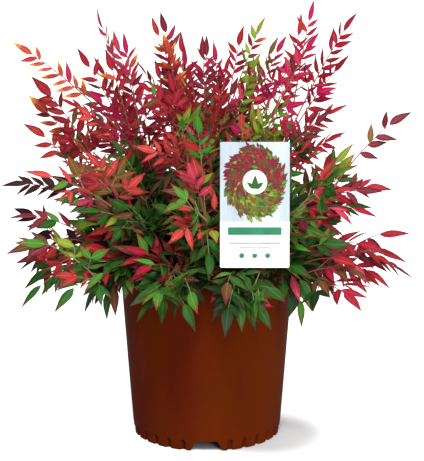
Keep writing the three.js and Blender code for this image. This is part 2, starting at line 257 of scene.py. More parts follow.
def grown(source: Object, tree: NodeTree, inputs: dict[str, object]) -> Mesh:
    """Runs a tree of nodes on an object.

    Args:
        source: The object that the tree starts from.
        tree: The tree.
        inputs: A value for each of its named inputs.

    Returns:
        The result as a plain mesh.
    """
    modifier = source.modifiers.new(tree.name, "NODES")
    modifier.node_group = tree
    for item in tree.interface.items_tree:
        if item.item_type == "SOCKET" and item.in_out == "INPUT" and item.name in inputs:
            modifier[item.identifier] = inputs[item.name]
    graph = bpy.context.evaluated_depsgraph_get()
    mesh = bpy.data.meshes.new_from_object(source.evaluated_get(graph), depsgraph=graph)
    source.modifiers.remove(modifier)
    return mesh


# ---------------------------------------------------------------- finishes


def plain_material(name: str, **inputs: object) -> Material:
    """A material without a pattern, made once.

    Args:
        name: Its name.
        **inputs: The values of its shader's inputs, named with _ for a space.

    Returns:
        The material.
    """
    if name in bpy.data.materials:
        return bpy.data.materials[name]
    material = bpy.data.materials.new(name)
    material.use_nodes = True
    NodeWriter(material.node_tree).fill(material.node_tree.nodes["Principled BSDF"], **inputs)
    return material


def mottle_group() -> NodeTree:
    """The shader group that mottles a surface from a dark to a light colour and gives it a fine grain."""
    if "Mottle" in bpy.data.node_groups:
        return bpy.data.node_groups["Mottle"]
    inputs = {"Dark": "Color", "Light": "Color", "Scale": "Float", "Stretch": "Vector", "Grain": "Float",
              "Roughness": "Float"}
    outputs = {"Colour": "Color", "Roughness": "Float", "Height": "Float"}
    writer = NodeWriter.group("Mottle", "Shader", inputs, outputs)
    given = writer.given()
    place = writer.add("ShaderNodeTexCoord").outputs["Object"]
    place = writer.value("ShaderNodeMapping", None, place, Scale=given["Stretch"])
    cloud = writer.value("ShaderNodeTexNoise", None, place, Scale=given["Scale"], Detail=5.0, Roughness=0.6)
    grain = writer.value("ShaderNodeTexNoise", None, place, Scale=given["Grain"], Detail=3.0, Roughness=0.55)
    contrast = writer.value("ShaderNodeMapRange", None, cloud, From_Min=0.32, From_Max=0.68)
    colour = writer.value("ShaderNodeMix", {"data_type": "RGBA"}, contrast, given["Dark"], given["Light"])
    rough = writer.value("ShaderNodeMath", {"operation": "MULTIPLY_ADD"}, grain, 0.16, given["Roughness"])
    height = writer.value("ShaderNodeMath", {"operation": "ADD"}, grain, cloud)
    return writer.ended(colour, rough, height)


@dataclass(frozen=True)
class LeafFinish:
    """The plain colours of one kind of leaflet."""

    blade: Colour
    rib: Colour
    margin: Colour
    tip: Colour
    roughness: float = 0.5
    specular: float = 0.13

    def materials(self) -> list[Material]:
        """One plain material for each Zone in order, shared with other leaflets of that colour."""
        neck = tuple(round((a + b) / 2) for a, b in zip(self.blade, self.tip))
        return [
            plain_material("leaf_{:02x}{:02x}{:02x}".format(*colour), Base_Color=linear(colour),
                           Roughness=self.roughness, Specular_IOR_Level=self.specular)
            for colour in (self.blade, self.rib, self.margin, neck, self.tip)
        ]


class Tint(Enum):
    """The colours that a spray of leaflets can have."""

    MAGENTA = LeafFinish((158, 18, 66), (180, 50, 88), (146, 16, 58), (132, 14, 50))
    CRIMSON = LeafFinish((146, 22, 40), (168, 54, 60), (132, 18, 36), (112, 16, 32))
    ROSE = LeafFinish((184, 56, 78), (202, 94, 102), (170, 42, 66), (150, 30, 54))
    SCARLET = LeafFinish((156, 34, 38), (180, 70, 54), (142, 28, 36), (124, 22, 32))
    CORAL = LeafFinish((184, 58, 58), (206, 104, 78), (170, 46, 50), (152, 36, 46))
    ORANGE = LeafFinish((164, 54, 42), (192, 108, 56), (180, 84, 44), (210, 166, 62))
    OLIVE = LeafFinish((104, 78, 38), (140, 110, 56), (116, 62, 36), (136, 48, 36))
    LIME = LeafFinish((112, 142, 36), (150, 168, 66), (130, 118, 38), (158, 90, 36))
    BRONZE = LeafFinish((90, 60, 34), (120, 88, 52), (94, 44, 32), (100, 34, 32))
    WINE = LeafFinish((108, 28, 42), (134, 56, 62), (94, 22, 36), (78, 16, 32))
    MAROON = LeafFinish((40, 8, 14), (66, 22, 26), (34, 6, 12), (28, 6, 10))
    GREEN = LeafFinish((64, 118, 38), (98, 142, 60), (84, 98, 34), (112, 62, 34))
    FRESH = LeafFinish((50, 134, 36), (92, 158, 62), (60, 120, 32), (90, 104, 32))
    DEEP = LeafFinish((38, 84, 28), (64, 106, 46), (42, 76, 24), (60, 58, 24))
    DARK = LeafFinish((22, 50, 18), (42, 70, 32), (24, 44, 16), (36, 34, 16))


class TwigTint(Enum):
    """The colours that stalks can have."""

    RED = (140, 62, 54)
    GREEN = (118, 134, 78)

    @staticmethod
    def under(tint: Tint) -> TwigTint:
        """The colour of a stalk that carries leaflets of a tint."""
        return TwigTint.GREEN if tint in GREEN_TINTS else TwigTint.RED

    def material(self) -> Material:
        """The satin material of stalks of this colour."""
        return plain_material(f"stalk_{self.name.lower()}", Base_Color=linear(self.value), Roughness=0.55)


TINTS = list(Tint)
TWIG_TINTS = list(TwigTint)
GREEN_TINTS = (Tint.GREEN, Tint.FRESH, Tint.DEEP, Tint.DARK, Tint.LIME, Tint.OLIVE)


@dataclass(frozen=True)
class GrownFinish:
    """A rough or moulded finish, mottled from dark to light, with a fine relief."""

    name: str
    dark: Colour
    light: Colour
    scale: float  # mottles to a metre
    stretch: tuple[float, float, float] = (1.0, 1.0, 1.0)
    grain: float = 2600.0  # grains to a metre
    relief: float = 0.03
    roughness: float = 0.35
    specular: float = 0.3
    sheen: Colour = (255, 255, 255)  # what tints its gloss
    relief_height: float = 0.5

    def material(self) -> Material:
        """The material, made once."""
        if self.name in bpy.data.materials:
            return bpy.data.materials[self.name]
        gloss = {"Specular IOR Level": self.specular, "Specular Tint": linear(self.sheen)}
        material = plain_material(self.name, **gloss)
        writer = NodeWriter(material.node_tree)
        look = (linear(self.dark), linear(self.light), self.scale, self.stretch, self.grain, self.roughness)
        mottle = writer.add("ShaderNodeGroup", {"node_tree": mottle_group()}, *look).outputs
        bump = writer.value("ShaderNodeBump", None, Strength=self.relief, Distance=self.relief_height * MM,
                            Height=mottle["Height"])
        writer.fill(material.node_tree.nodes["Principled BSDF"], Base_Color=mottle["Colour"],
                    Roughness=mottle["Roughness"], Normal=bump)
        return material


UPRIGHT = (1.0, 1.0, 0.15)  # draws mottles out into streaks
BARK = GrownFinish("cane_bark", (72, 46, 34), (132, 98, 70), 120, UPRIGHT, 1400, 0.6, 0.85)
PLASTIC = GrownFinish(
    "pot_plastic", (78, 21, 9), (91, 35, 6), 9, (1, 1, 0.3), 2200, 0.08, 0.4, 0.008, (120, 44, 22),
)
CHIPS = GrownFinish("bark_chips", (44, 28, 22), (104, 70, 50), 60, grain=1500, relief=0.7, roughness=0.95)
LOAM = GrownFinish("loam", (26, 18, 15), (50, 36, 28), 180, grain=1800, relief=0.8, roughness=1.0)
CARD = GrownFinish("label_card", (238, 238, 232), (250, 250, 247), 30, relief=0.04, roughness=0.4)
PRINT_SKY = GrownFinish("print_sky", (150, 164, 176), (196, 204, 212), 26, (1, 1, 0.2))
PRINT_SHADE = GrownFinish("print_shade", (58, 34, 28), (92, 44, 36), 90, roughness=0.4)
PRINT_CREAM = GrownFinish("print_cream", (238, 238, 214), (246, 246, 226), 40)
PRINT_GREEN = GrownFinish("print_green", (18, 104, 70), (26, 120, 80), 50)
PRINT_GREY = GrownFinish("print_grey", (92, 94, 94), (110, 112, 110), 50)


# ---------------------------------------------------------------- pieces


def shown(name: str, mesh: Mesh) -> Object:
    """Puts a mesh into the scene as an object at the origin.

    Args:
        name: The object's name.
        mesh: The mesh.

    Returns:
        The object.
    """
    made = bpy.data.objects.new(name, mesh)
    bpy.context.scene.collection.objects.link(made)
    return made


def gathered(name: str, meshes: Iterable[Mesh]) -> Collection:
    """Helper objects that a tree of nodes picks from.

    Args:
        name: Their collection's name.
        meshes: The mesh of each.

    Returns:
        Their collection.
    """
    helpers = bpy.data.collections.new(name)
    bpy.context.scene.collection.children.link(helpers)
    for mesh in meshes:
        helpers.objects.link(bpy.data.objects.new(mesh.name, mesh))
    return helpers


def dropped(helpers: Collection) -> None:
    """Removes helper objects with their collection.

    Args:
        helpers: The collection.
    """
    for made in list(helpers.objects):
        bpy.data.objects.remove(made)
    bpy.data.collections.remove(helpers)


def skin(count: int, sides: int, first: bool, last: bool) -> list[tuple[int, ...]]:
    """The faces of a closed skin over rings of places, numbered ring by ring.

    Args:
        count: How many rings there are.
        sides: How many places each has.
        first: Whether the first ring closes to a place before it. If not, a flat face closes it.
        last: Whether the last ring closes to a place after it.

    Returns:
        The faces, ring by ring.
    """
    start = int(first)
    end = start + (count - 1) * sides
    around = [(k, (k + 1) % sides) for k in range(sides)]
    faces = [(0, start + k, start + j) for k, j in around] if first else [tuple(range(sides))]
    for low in range(start, end, sides):
        faces += [(low + k, low + sides + k, low + sides + j, low + j) for k, j in around]
    closing = [tuple(range(end, end + sides))]
    return faces + ([(end + k, end + sides, end + j) for k, j in around] if last else closing)


def loft(name: str, rings: np.ndarray, first: Sequence[float] | None = None,
         last: Sequence[float] | None = None) -> Mesh:
    """A closed skin over rings of places, with its faces outwards.

    Args:
        name: The mesh's name.
        rings: The places in millimetres, ring by ring and round each ring.
        first: The place that the first ring closes to. Without one, a flat face closes it.
        last: The same for the last ring.

    Returns:
        The mesh.
    """
    count, sides = rings.shape[:2]
    faces = skin(count, sides, first is not None, last is not None)
    places = [*([first] if first else []), *rings.reshape(-1, 3), *([last] if last else [])]
    mesh = bpy.data.meshes.new(name)
    mesh.from_pydata((np.array(places) * MM).tolist(), [], faces)
    form = bmesh.new()
    form.from_mesh(mesh)
    bmesh.ops.remove_doubles(form, verts=form.verts, dist=0.001 * MM)
    bmesh.ops.recalc_face_normals(form, faces=form.faces)
    form.to_mesh(mesh)
    form.free()
    return mesh


def joined(name: str, parts: Sequence[tuple[GrownFinish, Mesh]]) -> Object:
    """Puts some meshes into the scene as one object.

    Args:
        name: The object's name.
        parts: The finish and the mesh of each.

    Returns:
        The object.
    """
    form = bmesh.new()
    finishes = list(dict.fromkeys(finish for finish, _ in parts))
    for finish, mesh in parts:
        before = len(form.faces)
        form.from_mesh(mesh)
        form.faces.ensure_lookup_table()
        for face in form.faces[before:]:
            face.material_index = finishes.index(finish)
        bpy.data.meshes.remove(mesh)
    mesh = bpy.data.meshes.new(name)
    form.to_mesh(mesh)
    form.free()
    for finish in finishes:
        mesh.materials.append(finish.material())
    return shown(name, mesh)


def placed(made: Object, replaced: Iterable[str] = ()) -> None:
    """Hands a finished piece to the frame.

    Args:
        made: The piece.
        replaced: The nodes of the model that it stands for.
    """
    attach(made, BODY)
    nodes = list(replaced)
    if nodes:
        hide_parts(*nodes)
    made.data.calc_loop_triangles()
    log.info("%s: %d triangles", made.name, len(made.data.loop_triangles))


# ---------------------------------------------------------------- the rule of growth


@dataclass(frozen=True)
class Bow:
    """The line of a limb or a frond: a curve from its foot over a bend to its tip."""

    foot: Vector
    bend: Vector
    tip: Vector

    @classmethod
    def arched(cls, root: Vector, way: Vector, rise: Vector) -> Bow:
        """A line from a root along a way, with its middle raised."""
        return cls(root, root + way / 2 + rise, root + way)

    def at(self, share: float) -> Vector:
        """The place at a share of the curve."""
        rest = 1 - share
        return self.foot * rest * rest + self.bend * 2 * rest * share + self.tip * share * share

    def way(self, share: float) -> Vector:
        """The way that the curve heads at a share of it."""
        return ((self.bend - self.foot) * (1 - share) + (self.tip - self.bend) * share).normalized()

    def length(self) -> float:
        """The curve's length."""
        places = self.stretch(0, 1, 60)
        return sum((b - a).length for a, b in zip(places, places[1:]))

    def stretch(self, start: float, end: float, steps: int) -> list[Vector]:
        """The places between two shares of the curve."""
        return [self.at(lerp(start, end, i / steps)) for i in range(steps + 1)]


@dataclass(frozen=True)
class Tier:
    """One ring of masses, as in the model's own rule, and its finer fronds."""

    name: str
    masses: int
    phase: float
    lean: float  # degrees from upright
    foot: float  # how far from the middle its canes leave the soil
    arch: float
    fronds: int
    inner: float
    droop: float
    fill: float  # how far out, as a share of the reach, its finer fronds end
    fillers: int  # how many there are inside each mass
    low_fronds: int  # and along its bare cane
    hem_fronds: int  # and how many hang over the pot's lip
    leaflet: float  # the length of its leaflets, as a share of the usual one
    breadth: float  # and how broad they are for their length
    tries: str  # for each mass, which of its tries each frond of the solids took, from the last frond on


TIERS = (
    Tier("top", 3, 30, 7, 13, 0.05, 4, 0.6, 0.06, 0.88, 10, 2, 0, 0.74, 0.94, "0518 0010 0260"),
    Tier("upper", 7, 0, 29, 31, 0.15, 5, 0.5, 0.1, 0.68, 10, 5, 0, 0.8, 0.9,
         "00158 01074 18150 02815 00383 016b6 10161"),
    Tier("middle", 8, 0, 53, 52, 0.25, 5, 0.5, 0.16, 0.72, 12, 7, 0, 0.94, 1.05,
         "00002 10536 44274 19156 00709 21440 56290 36027"),
    Tier("skirt", 10, 0, 83, 70, 0.6, 5, 0.72, 0.24, 0.78, 9, 9, 9, 1.06, 1.02,
         "00010 56455 00038 6034b 27051 00000 002b3 23018 66862 26333"),
)


@dataclass(frozen=True)
class Crown:
    """The crown's outline, measured from the heart of the clump."""

    heart: Vector = field(default_factory=lambda: Vector((0.0, 0.0, 190.0)))
    outline: tuple[tuple[float, float], ...] = (
        (0, 305), (12, 330), (22, 355), (38, 352), (48, 318), (62, 270), (90, 246), (104, 176), (114, 146),
    )  # the reach at each lean from upright
    leaders: tuple[tuple[float, float, float], ...] = (
        (165, 12, 340), (350, 12, 342), (270, 1.5, 311),
        (157, 24, 372), (194, 37.5, 386), (12, 21, 376), (342, 28.5, 386),
        (4, 49.5, 332), (176, 48, 302), (184, 63, 286), (358, 62, 262),
        (168, 71, 268), (194, 78, 256), (172, 88, 250), (190, 96, 242), (350, 73, 258), (12, 92, 280),
    )  # the longest sprays: turn, lean and reach
    sprays: tuple[tuple[float, float, float], ...] = (
        (-32, -10, 505), (-5, -40, 502), (9, 20, 492), (44, 10, 512), (85, -20, 500), (98, 30, 500),
        (114, -30, 526), (170, -30, 478), (171, -20, 419), (-187, 0, 479), (-155, -20, 485),
        (-139, 20, 472), (-116, 20, 503), (-121, -30, 484), (-101, -20, 503), (-52, -30, 505),
        (-207, -20, 449), (-217, 10, 424), (-186, 30, 422), (-158, -40, 422), (-187, 20, 370),
        (-198, 30, 322), (-204, -20, 317), (-242, -30, 282), (-241, 0, 236), (-245, 10, 212),
        (-218, -20, 221), (-234, -20, 186), (-211, -40, 181), (-203, 10, 179), (-159, -60, 162),
        (-130, -80, 155), (-108, -95, 166), (161, -40, 181), (210, -10, 177), (234, -30, 189), (229, 10, 182),
        (251, 20, 204), (252, -20, 226), (249, 30, 219), (220, -50, 242), (210, 20, 284),
        (217, -20, 312), (179, -60, 278), (164, 30, 326), (161, -20, 345), (184, 20, 351), (119, -70, 140),
        (131, -80, 166), (152, -50, 362), (126, -60, 394), (166, -45, 388), (182, -30, 346), (140, 0, 384),
        (178, -5, 366), (150, -20, 412), (28, -25, 480), (64, -30, 482), (-48, 15, 480), (-30, 115, 480),
        (62, 130, 468), (-92, 125, 462),
    )  # where the slim sprays between them end: across, behind and height
    turned_top: float = 452.0  # the height above which no second set of them grows

    def spray_tips(self) -> list[Vector]:
        """Where the slim sprays end, on the front and back as on both sides, but not twice at the top."""
        tips = [Vector(place) for place in self.sprays]
        return tips + [Vector((-tip.y, tip.x, tip.z)) for tip in tips if tip.z < self.turned_top]

    @staticmethod
    def heading(turn: float, lean: float) -> Vector:
        """The way that a turn and a lean in degrees point to."""
        turn, lean = math.radians(turn), math.radians(lean)
        return Vector((math.sin(lean) * math.cos(turn), math.sin(lean) * math.sin(turn), math.cos(lean)))

    def reach(self, lean: float) -> float:
        """How far the crown reaches at a lean."""
        leans, reaches = zip(*self.outline)
        return float(np.interp(lean, leans, reaches))

    def place(self, turn: float, lean: float, reach: float) -> Vector:
        """The place at a turn, a lean and a reach."""
        return self.heading(turn, lean) * reach + self.heart

    def lean_of(self, place: Vector) -> float:
        """The lean at which a place is seen from the heart, in degrees."""
        return math.degrees((place - self.heart).angle(UP, 0.0))

    def depth(self, place: Vector) -> float:
        """How far out a place is, as a share of the crown's reach there."""
        return (place - self.heart).length / self.reach(self.lean_of(place))


@dataclass(frozen=True)
class Container:
    """The pot's sizes."""

    height: float = 215
    foot_radius: float = 94
    taper: float = 0.0727
    wall: float = 1.8
    lip_height: float = 16
    lip_reach: float = 3.4
    floor_top: float = 15
    recess_top: float = 12.6
    recess_from: float = 34
    recess_to: float = 82
    soil_top: float = 195

    def radius(self, height: float) -> float:
        """The wall's outer radius at a height."""
        return self.foot_radius + self.taper * height

    @property
    def lip_radius(self) -> float:
        """The radius of the rolled lip."""
        return self.radius(self.height) + self.lip_reach


@dataclass(frozen=True)
class LabelCard:
    """The label's card and the stake that holds it."""

    width: float = 80
    height: float = 145
    thickness: float = 1
    lean: float = 6
    bottom: Vector = field(default_factory=lambda: Vector((56.0, -148.0, 243.5)))

    def place(self, across: float, up: float, out: float) -> Vector:
        """A place on the card: across from its middle, up from its lower edge and out from its back."""
        sine, cosine = math.sin(math.radians(self.lean)), math.cos(math.radians(self.lean))
        return self.bottom + Vector((across, up * sine - out * cosine, up * cosine + out * sine))

    def heading(self, angle: float) -> Vector:
        """The way along the card that an angle in radians points to, from straight across."""
        return self.place(math.cos(angle), math.sin(angle), 0) - self.bottom


CROWN = Crown()
CONTAINER = Container()
LABEL = LabelCard()

GAP = 0.3  # between one piece and the one that it stands on
CANE_SHARE = 0.4  # of a limb, up to its first fronds
REACH_SHARE = 0.62  # of the crown's reach, at a limb's tip
GOLDEN = (0.7549, 0.5698)  # the steps that spread places evenly over an area
LEAST_FROND = 95.0
TRY_DIGITS = 12  # the base that tries are written in


@dataclass
class Frond:
    """One frond: its line and its number in the mass."""

    bow: Bow
    number: int
    strays: bool = False  # whether it may leave the mass's own space
    slim: bool = False  # whether it is one of the longest, thinnest sprays


@dataclass
class Mass:
    """One mass of foliage with its limb."""

    key: int
    tier: Tier
    turn: float
    number: int
    own: Vector
    limb: Bow

    @property
    def label(self) -> str:
        """The end of the names of its nodes."""
        return f"{self.tier.name}_{self.number}"


class Room:
    """Where one mass may grow: its own space, clear of the pot and the label."""

    OVERLAP = 14.0  # how far leaflets may reach into the next mass's space
    POT = 2.2  # how far they keep from the pot
    CARD = 3.0  # and from the label
    FLOOR = 12.0
    HEM = 180.0
    LOBE = 17.0
    LOBES = 14
    LOBE_TURN = math.radians(274)
    VIEW_SLOPE = math.tan(math.radians(11))

    def __init__(self, mass: Mass, masses: list[Mass]) -> None:
        """Works out the planes that part a mass from the others.

        Args:
            mass: The mass that grows.
            masses: All masses.
        """
        self.sides = rows((mass.own - other.own).normalized() for other in masses if other is not mass)

    def depth(self, places: np.ndarray) -> np.ndarray:
        """How far each place is inside the mass's own space."""
        return ((places - np.array(CROWN.heart)) @ self.sides.T).min(axis=1)

    def owns(self, place: Vector) -> bool:
        """Whether a place lies in the mass's own space."""
        return self.depth(rows([place]))[0] > 0

    def off_pot(self, places: np.ndarray) -> np.ndarray:
        """Whether each place is clear of the pot, the soil and the ground.

        Args:
            places: The places.

        Returns:
            Which are clear.
        """
        spread, height = np.hypot(places[:, 0], places[:, 1]), places[:, 2]
        over = height > CONTAINER.height + self.POT
        beside = (height > self.FLOOR) & (spread > CONTAINER.lip_radius + self.POT)
        inside = spread < CONTAINER.radius(CONTAINER.soil_top) - CONTAINER.wall - self.POT
        return over | beside | ((height > CONTAINER.soil_top + self.POT) & inside)

    def over_hem(self, places: np.ndarray) -> np.ndarray:
        """Whether each place is above the foliage's hem, which hangs in small lobes."""
        lobes = np.cos(self.LOBES * (np.arctan2(places[:, 1], places[:, 0]) - self.LOBE_TURN))
        return places[:, 2] > self.HEM - self.LOBE * np.maximum(lobes, 0.0)

    def off_label(self, places: np.ndarray) -> np.ndarray:
        """Whether each place is clear of the label and of the space before its face.

        Args:
            places: The places.

        Returns:
            Which are clear.
        """
        rise = places[:, 2] - LABEL.bottom.z
        ahead = LABEL.bottom.y + rise * math.tan(math.radians(LABEL.lean)) - places[:, 1]
        seen_at = rise - np.maximum(0, ahead) * self.VIEW_SLOPE
        beside = np.abs(places[:, 0] - LABEL.bottom.x) > LABEL.width / 2 + self.CARD
        above = np.abs(seen_at - LABEL.height / 2) > LABEL.height / 2 + self.CARD
        return beside | above | (ahead < -self.CARD)

    def holds(self, places: np.ndarray, frond: Frond) -> np.ndarray:
        """Which places are free for a leaflet of a frond."""
        near = (frond.strays | (self.depth(places) > -self.OVERLAP)) & (frond.slim | self.over_hem(places))
        return near & self.off_pot(places) & self.off_label(places)


@dataclass(frozen=True)
class Fringe:
    """Short fronds along a cane, in millimetres and degrees, and how far they vary."""

    number: int  # of the first
    draw: int  # the first of the three last keys of their dice
    roots: tuple[float, float]  # the shares of the limb between which they root
    fan: float  # how far the first one turns aside; the others turn less and less, to either side
    turn: float
    lean: tuple[float, float]
    length: tuple[float, float]
    rise: float


ALONG_CANE = Fringe(80, 11, (0.1, 0.42), 0, 55, (74, 16), (84, 16), 12)  # hides the canes and the soil
ALONG_HEM = Fringe(90, 21, (0.4, 0.76), 72, 6, (114, 8), (60, 8), 10)  # hangs over the pot's lip
FIRST_FILLER = 60
FIRST_SPRAY = 100


class Clump:
    """The whole plant's plan: its masses with their limbs, and the fronds of each."""

    def __init__(self) -> None:
        """Plans every mass from the top tier to the skirt."""
        self.masses: list[Mass] = []
        for tier in TIERS:
            for i in range(tier.masses):
                self.masses.append(self._mass(tier, i))

    def _mass(self, tier: Tier, i: int) -> Mass:
        """Plans a mass.

        Args:
            tier: Its tier.
            i: Its place in the tier.

        Returns:
            The mass.
        """
        key = len(self.masses) + 1
        turn = (tier.phase + 360 * i / tier.masses) % 360
        foot = CROWN.heading(turn, 90) * tier.foot
        foot.z = CONTAINER.soil_top + GAP
        reach = REACH_SHARE * CROWN.reach(tier.lean) * (1 + 0.05 * vary(key, 0, 1))
        tip = CROWN.place(turn, tier.lean, reach)
        bend = foot.lerp(tip, 0.4) + UP * tier.arch * (tip - foot).length
        return Mass(key, tier, turn, i + 1, CROWN.heading(turn, tier.lean), Bow(foot, bend, tip))

    def spread_tip(self, mass: Mass, step: int, share: float) -> Vector:
        """A place that is spread evenly over a mass's space by its step.

        Args:
            mass: The mass.
            step: The step.
            share: How far out the place is, as a share of the crown's reach.

        Returns:
            The place.
        """
        at = TIERS.index(mass.tier)
        inner = 0.0 if at == 0 else (TIERS[at - 1].lean + mass.tier.lean) / 2 + 3
        outer = 111.0 if at == len(TIERS) - 1 else (TIERS[at + 1].lean + mass.tier.lean) / 2 - 3
        across, down = (spread_out(step, golden) for golden in GOLDEN)
        lean = lerp(inner, outer, down)
        off = (across - 0.5) * 1.7 * 180 / mass.tier.masses
        return CROWN.place(mass.turn + off, lean, CROWN.reach(lean) * share)

    def frond_bow(self, mass: Mass, share: float, tip: Vector, least: float) -> Bow:
        """The line of a frond.

        Args:
            mass: Its mass.
            share: The share of the limb where it roots.
            tip: Where it ends.
            least: How long it is at the least, even if that takes it further.

        Returns:
            Its line.
        """
        root = mass.limb.at(share)
        way = tip - root
        way.length = max(way.length, least)
        return Bow.arched(root, way, UP * mass.tier.droop * way.length)

    def fronds(self, mass: Mass, room: Room) -> list[Frond]:
        """The fronds of the solids, sprays at the crown's outline, and finer fronds inside it and low down.

        Args:
            mass: Their mass.
            room: Where it may grow.

        Returns:
            The fronds.
        """
        tier = mass.tier
        last = tier.fronds - 1
        tips = [CROWN.place(*spray) for spray in CROWN.leaders]
        leaders = [tip for tip in tips if room.owns(tip)]
        made = []
        for number, attempt in zip(range(last, -1, -1), tier.tries.split()[mass.number - 1]):
            leader = leaders.pop(0) if leaders else None
            step = number + int(attempt, TRY_DIGITS) * tier.fronds + mass.key
            share = lerp(tier.inner, 1, number / last) * (1 + 0.04 * vary(mass.key, number, 2))
            tip = leader or self.spread_tip(mass, step, share)
            bow = self.frond_bow(mass, lerp(CANE_SHARE + 0.06, 0.99, number / last), tip, LEAST_FROND)
            made.append(Frond(bow, number, slim=leader is not None))
        for i, tip in enumerate(CROWN.spray_tips()):
            if room.owns(tip):
                bow = self.frond_bow(mass, 0.74 + 0.2 * vary(mass.key, i, 14), tip, 0)
                made.append(Frond(bow, FIRST_SPRAY + i, strays=True, slim=True))
        for i in range(tier.fillers):
            step = 40 + 3 * i + mass.key
            share = lerp(0.4, tier.fill, spread_out(step, 0.618, 0.31))
            root = lerp(0.22, 0.9, spread_out(step, 0.4142, 0.17))
            bow = self.frond_bow(mass, root, self.spread_tip(mass, step, share), 70)
            made.append(Frond(bow, FIRST_FILLER + i))
        for fringe, count in ((ALONG_CANE, tier.low_fronds), (ALONG_HEM, tier.hem_fronds)):
            for i in range(count):
                dice = [vary(mass.key, i, fringe.draw + n) for n in range(3)]
                aside = lerp(fringe.fan, fringe.fan / 4, i / count) * (-1) ** i + fringe.turn * dice[0]
                lean = fringe.lean[0] + fringe.lean[1] * dice[1]
                length = fringe.length[0] + fringe.length[1] * dice[2]
                root = mass.limb.at(lerp(*fringe.roots, (i + 0.5) / count))
                bow = Bow.arched(root, CROWN.heading(mass.turn + aside, lean) * length, UP * fringe.rise)
                made.append(Frond(bow, fringe.number + i, strays=True))
        return made


# ---------------------------------------------------------------- autumn colours


Palette = tuple[tuple[Tint, float], ...]


def palette(**weights: float) -> Palette:
    """A palette of named tints, each with its weight."""
    return tuple((Tint[name], weight) for name, weight in weights.items())


TOP_REDS = palette(MAGENTA=30, CRIMSON=30, ROSE=10, SCARLET=15, WINE=15)
SIDE_REDS = palette(CRIMSON=22, CORAL=34, SCARLET=22, ROSE=12, WINE=10)
RASPBERRIES = palette(CRIMSON=44, ROSE=12, SCARLET=20, WINE=24)
LOW_REDS = palette(CRIMSON=38, WINE=22, SCARLET=18, ROSE=10, BRONZE=12)
TURNING = palette(OLIVE=26, BRONZE=16, LIME=16, GREEN=28, DEEP=14)
LEAFY = palette(GREEN=34, DEEP=30, FRESH=16, LIME=6, BRONZE=14)
# low sprays over the pot: greener, and darker as painted shade under the crown
HEM = palette(DEEP=48, GREEN=14, DARK=24, BRONZE=14)
# inner sprays: greener, as leaves out of the sun are, and darker, as painted shade inside the crown
SHADED_GREENS_AND_PAINTED_SHADE = palette(DARK=34, DEEP=28, GREEN=10, MAROON=16, BRONZE=12)
CORALS = palette(CORAL=60, SCARLET=25, ROSE=15)
OLIVES = palette(OLIVE=60, LIME=25, ORANGE=15)
LIMES = palette(LIME=38, OLIVE=22, FRESH=8, CORAL=32)
ORANGES = palette(ORANGE=75, SCARLET=25)
MAROONS = palette(MAROON=70, WINE=30)
GREENS = palette(FRESH=35, GREEN=45, DEEP=20)
BRONZES = palette(BRONZE=30, WINE=55, OLIVE=15)
DARK_REDS = palette(MAGENTA=50, WINE=18, CRIMSON=32)
WINES = palette(WINE=60, CRIMSON=20, BRONZE=20)


@dataclass(frozen=True)
class Patch:
    """A part of the crown, seen from the front, where a palette is commoner."""

    across: float
    height: float
    radius: float
    palette: Palette
    chance: float
    behind: float = 60.0  # how far back it still counts

    def covers(self, place: Vector, dice: float) -> bool:
        """Whether a place takes the patch's palette, for dice from 0 to 1."""
        near = math.hypot(place.x - self.across, place.z - self.height) < self.radius
        return near and place.y < self.behind and dice < self.chance


PATCHES = tuple(Patch(*numbers) for numbers in (
    (-215, 462, 44, ORANGES, 0.7), (-75, 505, 30, ORANGES, 0.7), (-135, 478, 30, ORANGES, 0.4),
    (67, 505, 24, OLIVES, 0.9), (66, 410, 44, LIMES, 0.65), (-14, 425, 24, GREENS, 0.6),
    (-100, 420, 36, OLIVES, 0.3), (-172, 385, 46, CORALS, 0.6), (-112, 392, 34, CORALS, 0.6),
    (-24, 292, 34, CORALS, 0.95, -110), (-36, 378, 44, CORALS, 0.65, -90),
    (-110, 360, 44, LOW_REDS, 0.35, -60), (-205, 418, 46, RASPBERRIES, 1.0),
    (-180, 338, 30, SIDE_REDS, 0.6), (-145, 232, 38, RASPBERRIES, 0.55),
    (-70, 305, 40, GREENS, 0.5, -80), (-192, 282, 30, GREENS, 0.75), (-228, 308, 36, MAROONS, 0.85),
    (-232, 258, 26, MAROONS, 0.6), (220, 400, 48, BRONZES, 0.85), (205, 318, 40, WINES, 0.5),
    (75, 452, 38, CORALS, 0.4), (142, 475, 60, DARK_REDS, 0.75), (-145, 295, 36, TURNING, 0.55),
    (-95, 250, 26, LOW_REDS, 0.6, -110), (130, 258, 34, GREENS, 0.8), (125, 318, 36, RASPBERRIES, 0.5),
    # the hem palette over the front of the rim paints the shade under the crown there
    (150, 372, 36, TURNING, 0.25), (4, 228, 50, HEM, 1.0), (190, 395, 44, WINES, 0.6),
    (225, 205, 66, RASPBERRIES, 0.9), (-208, 230, 42, RASPBERRIES, 0.8),
))


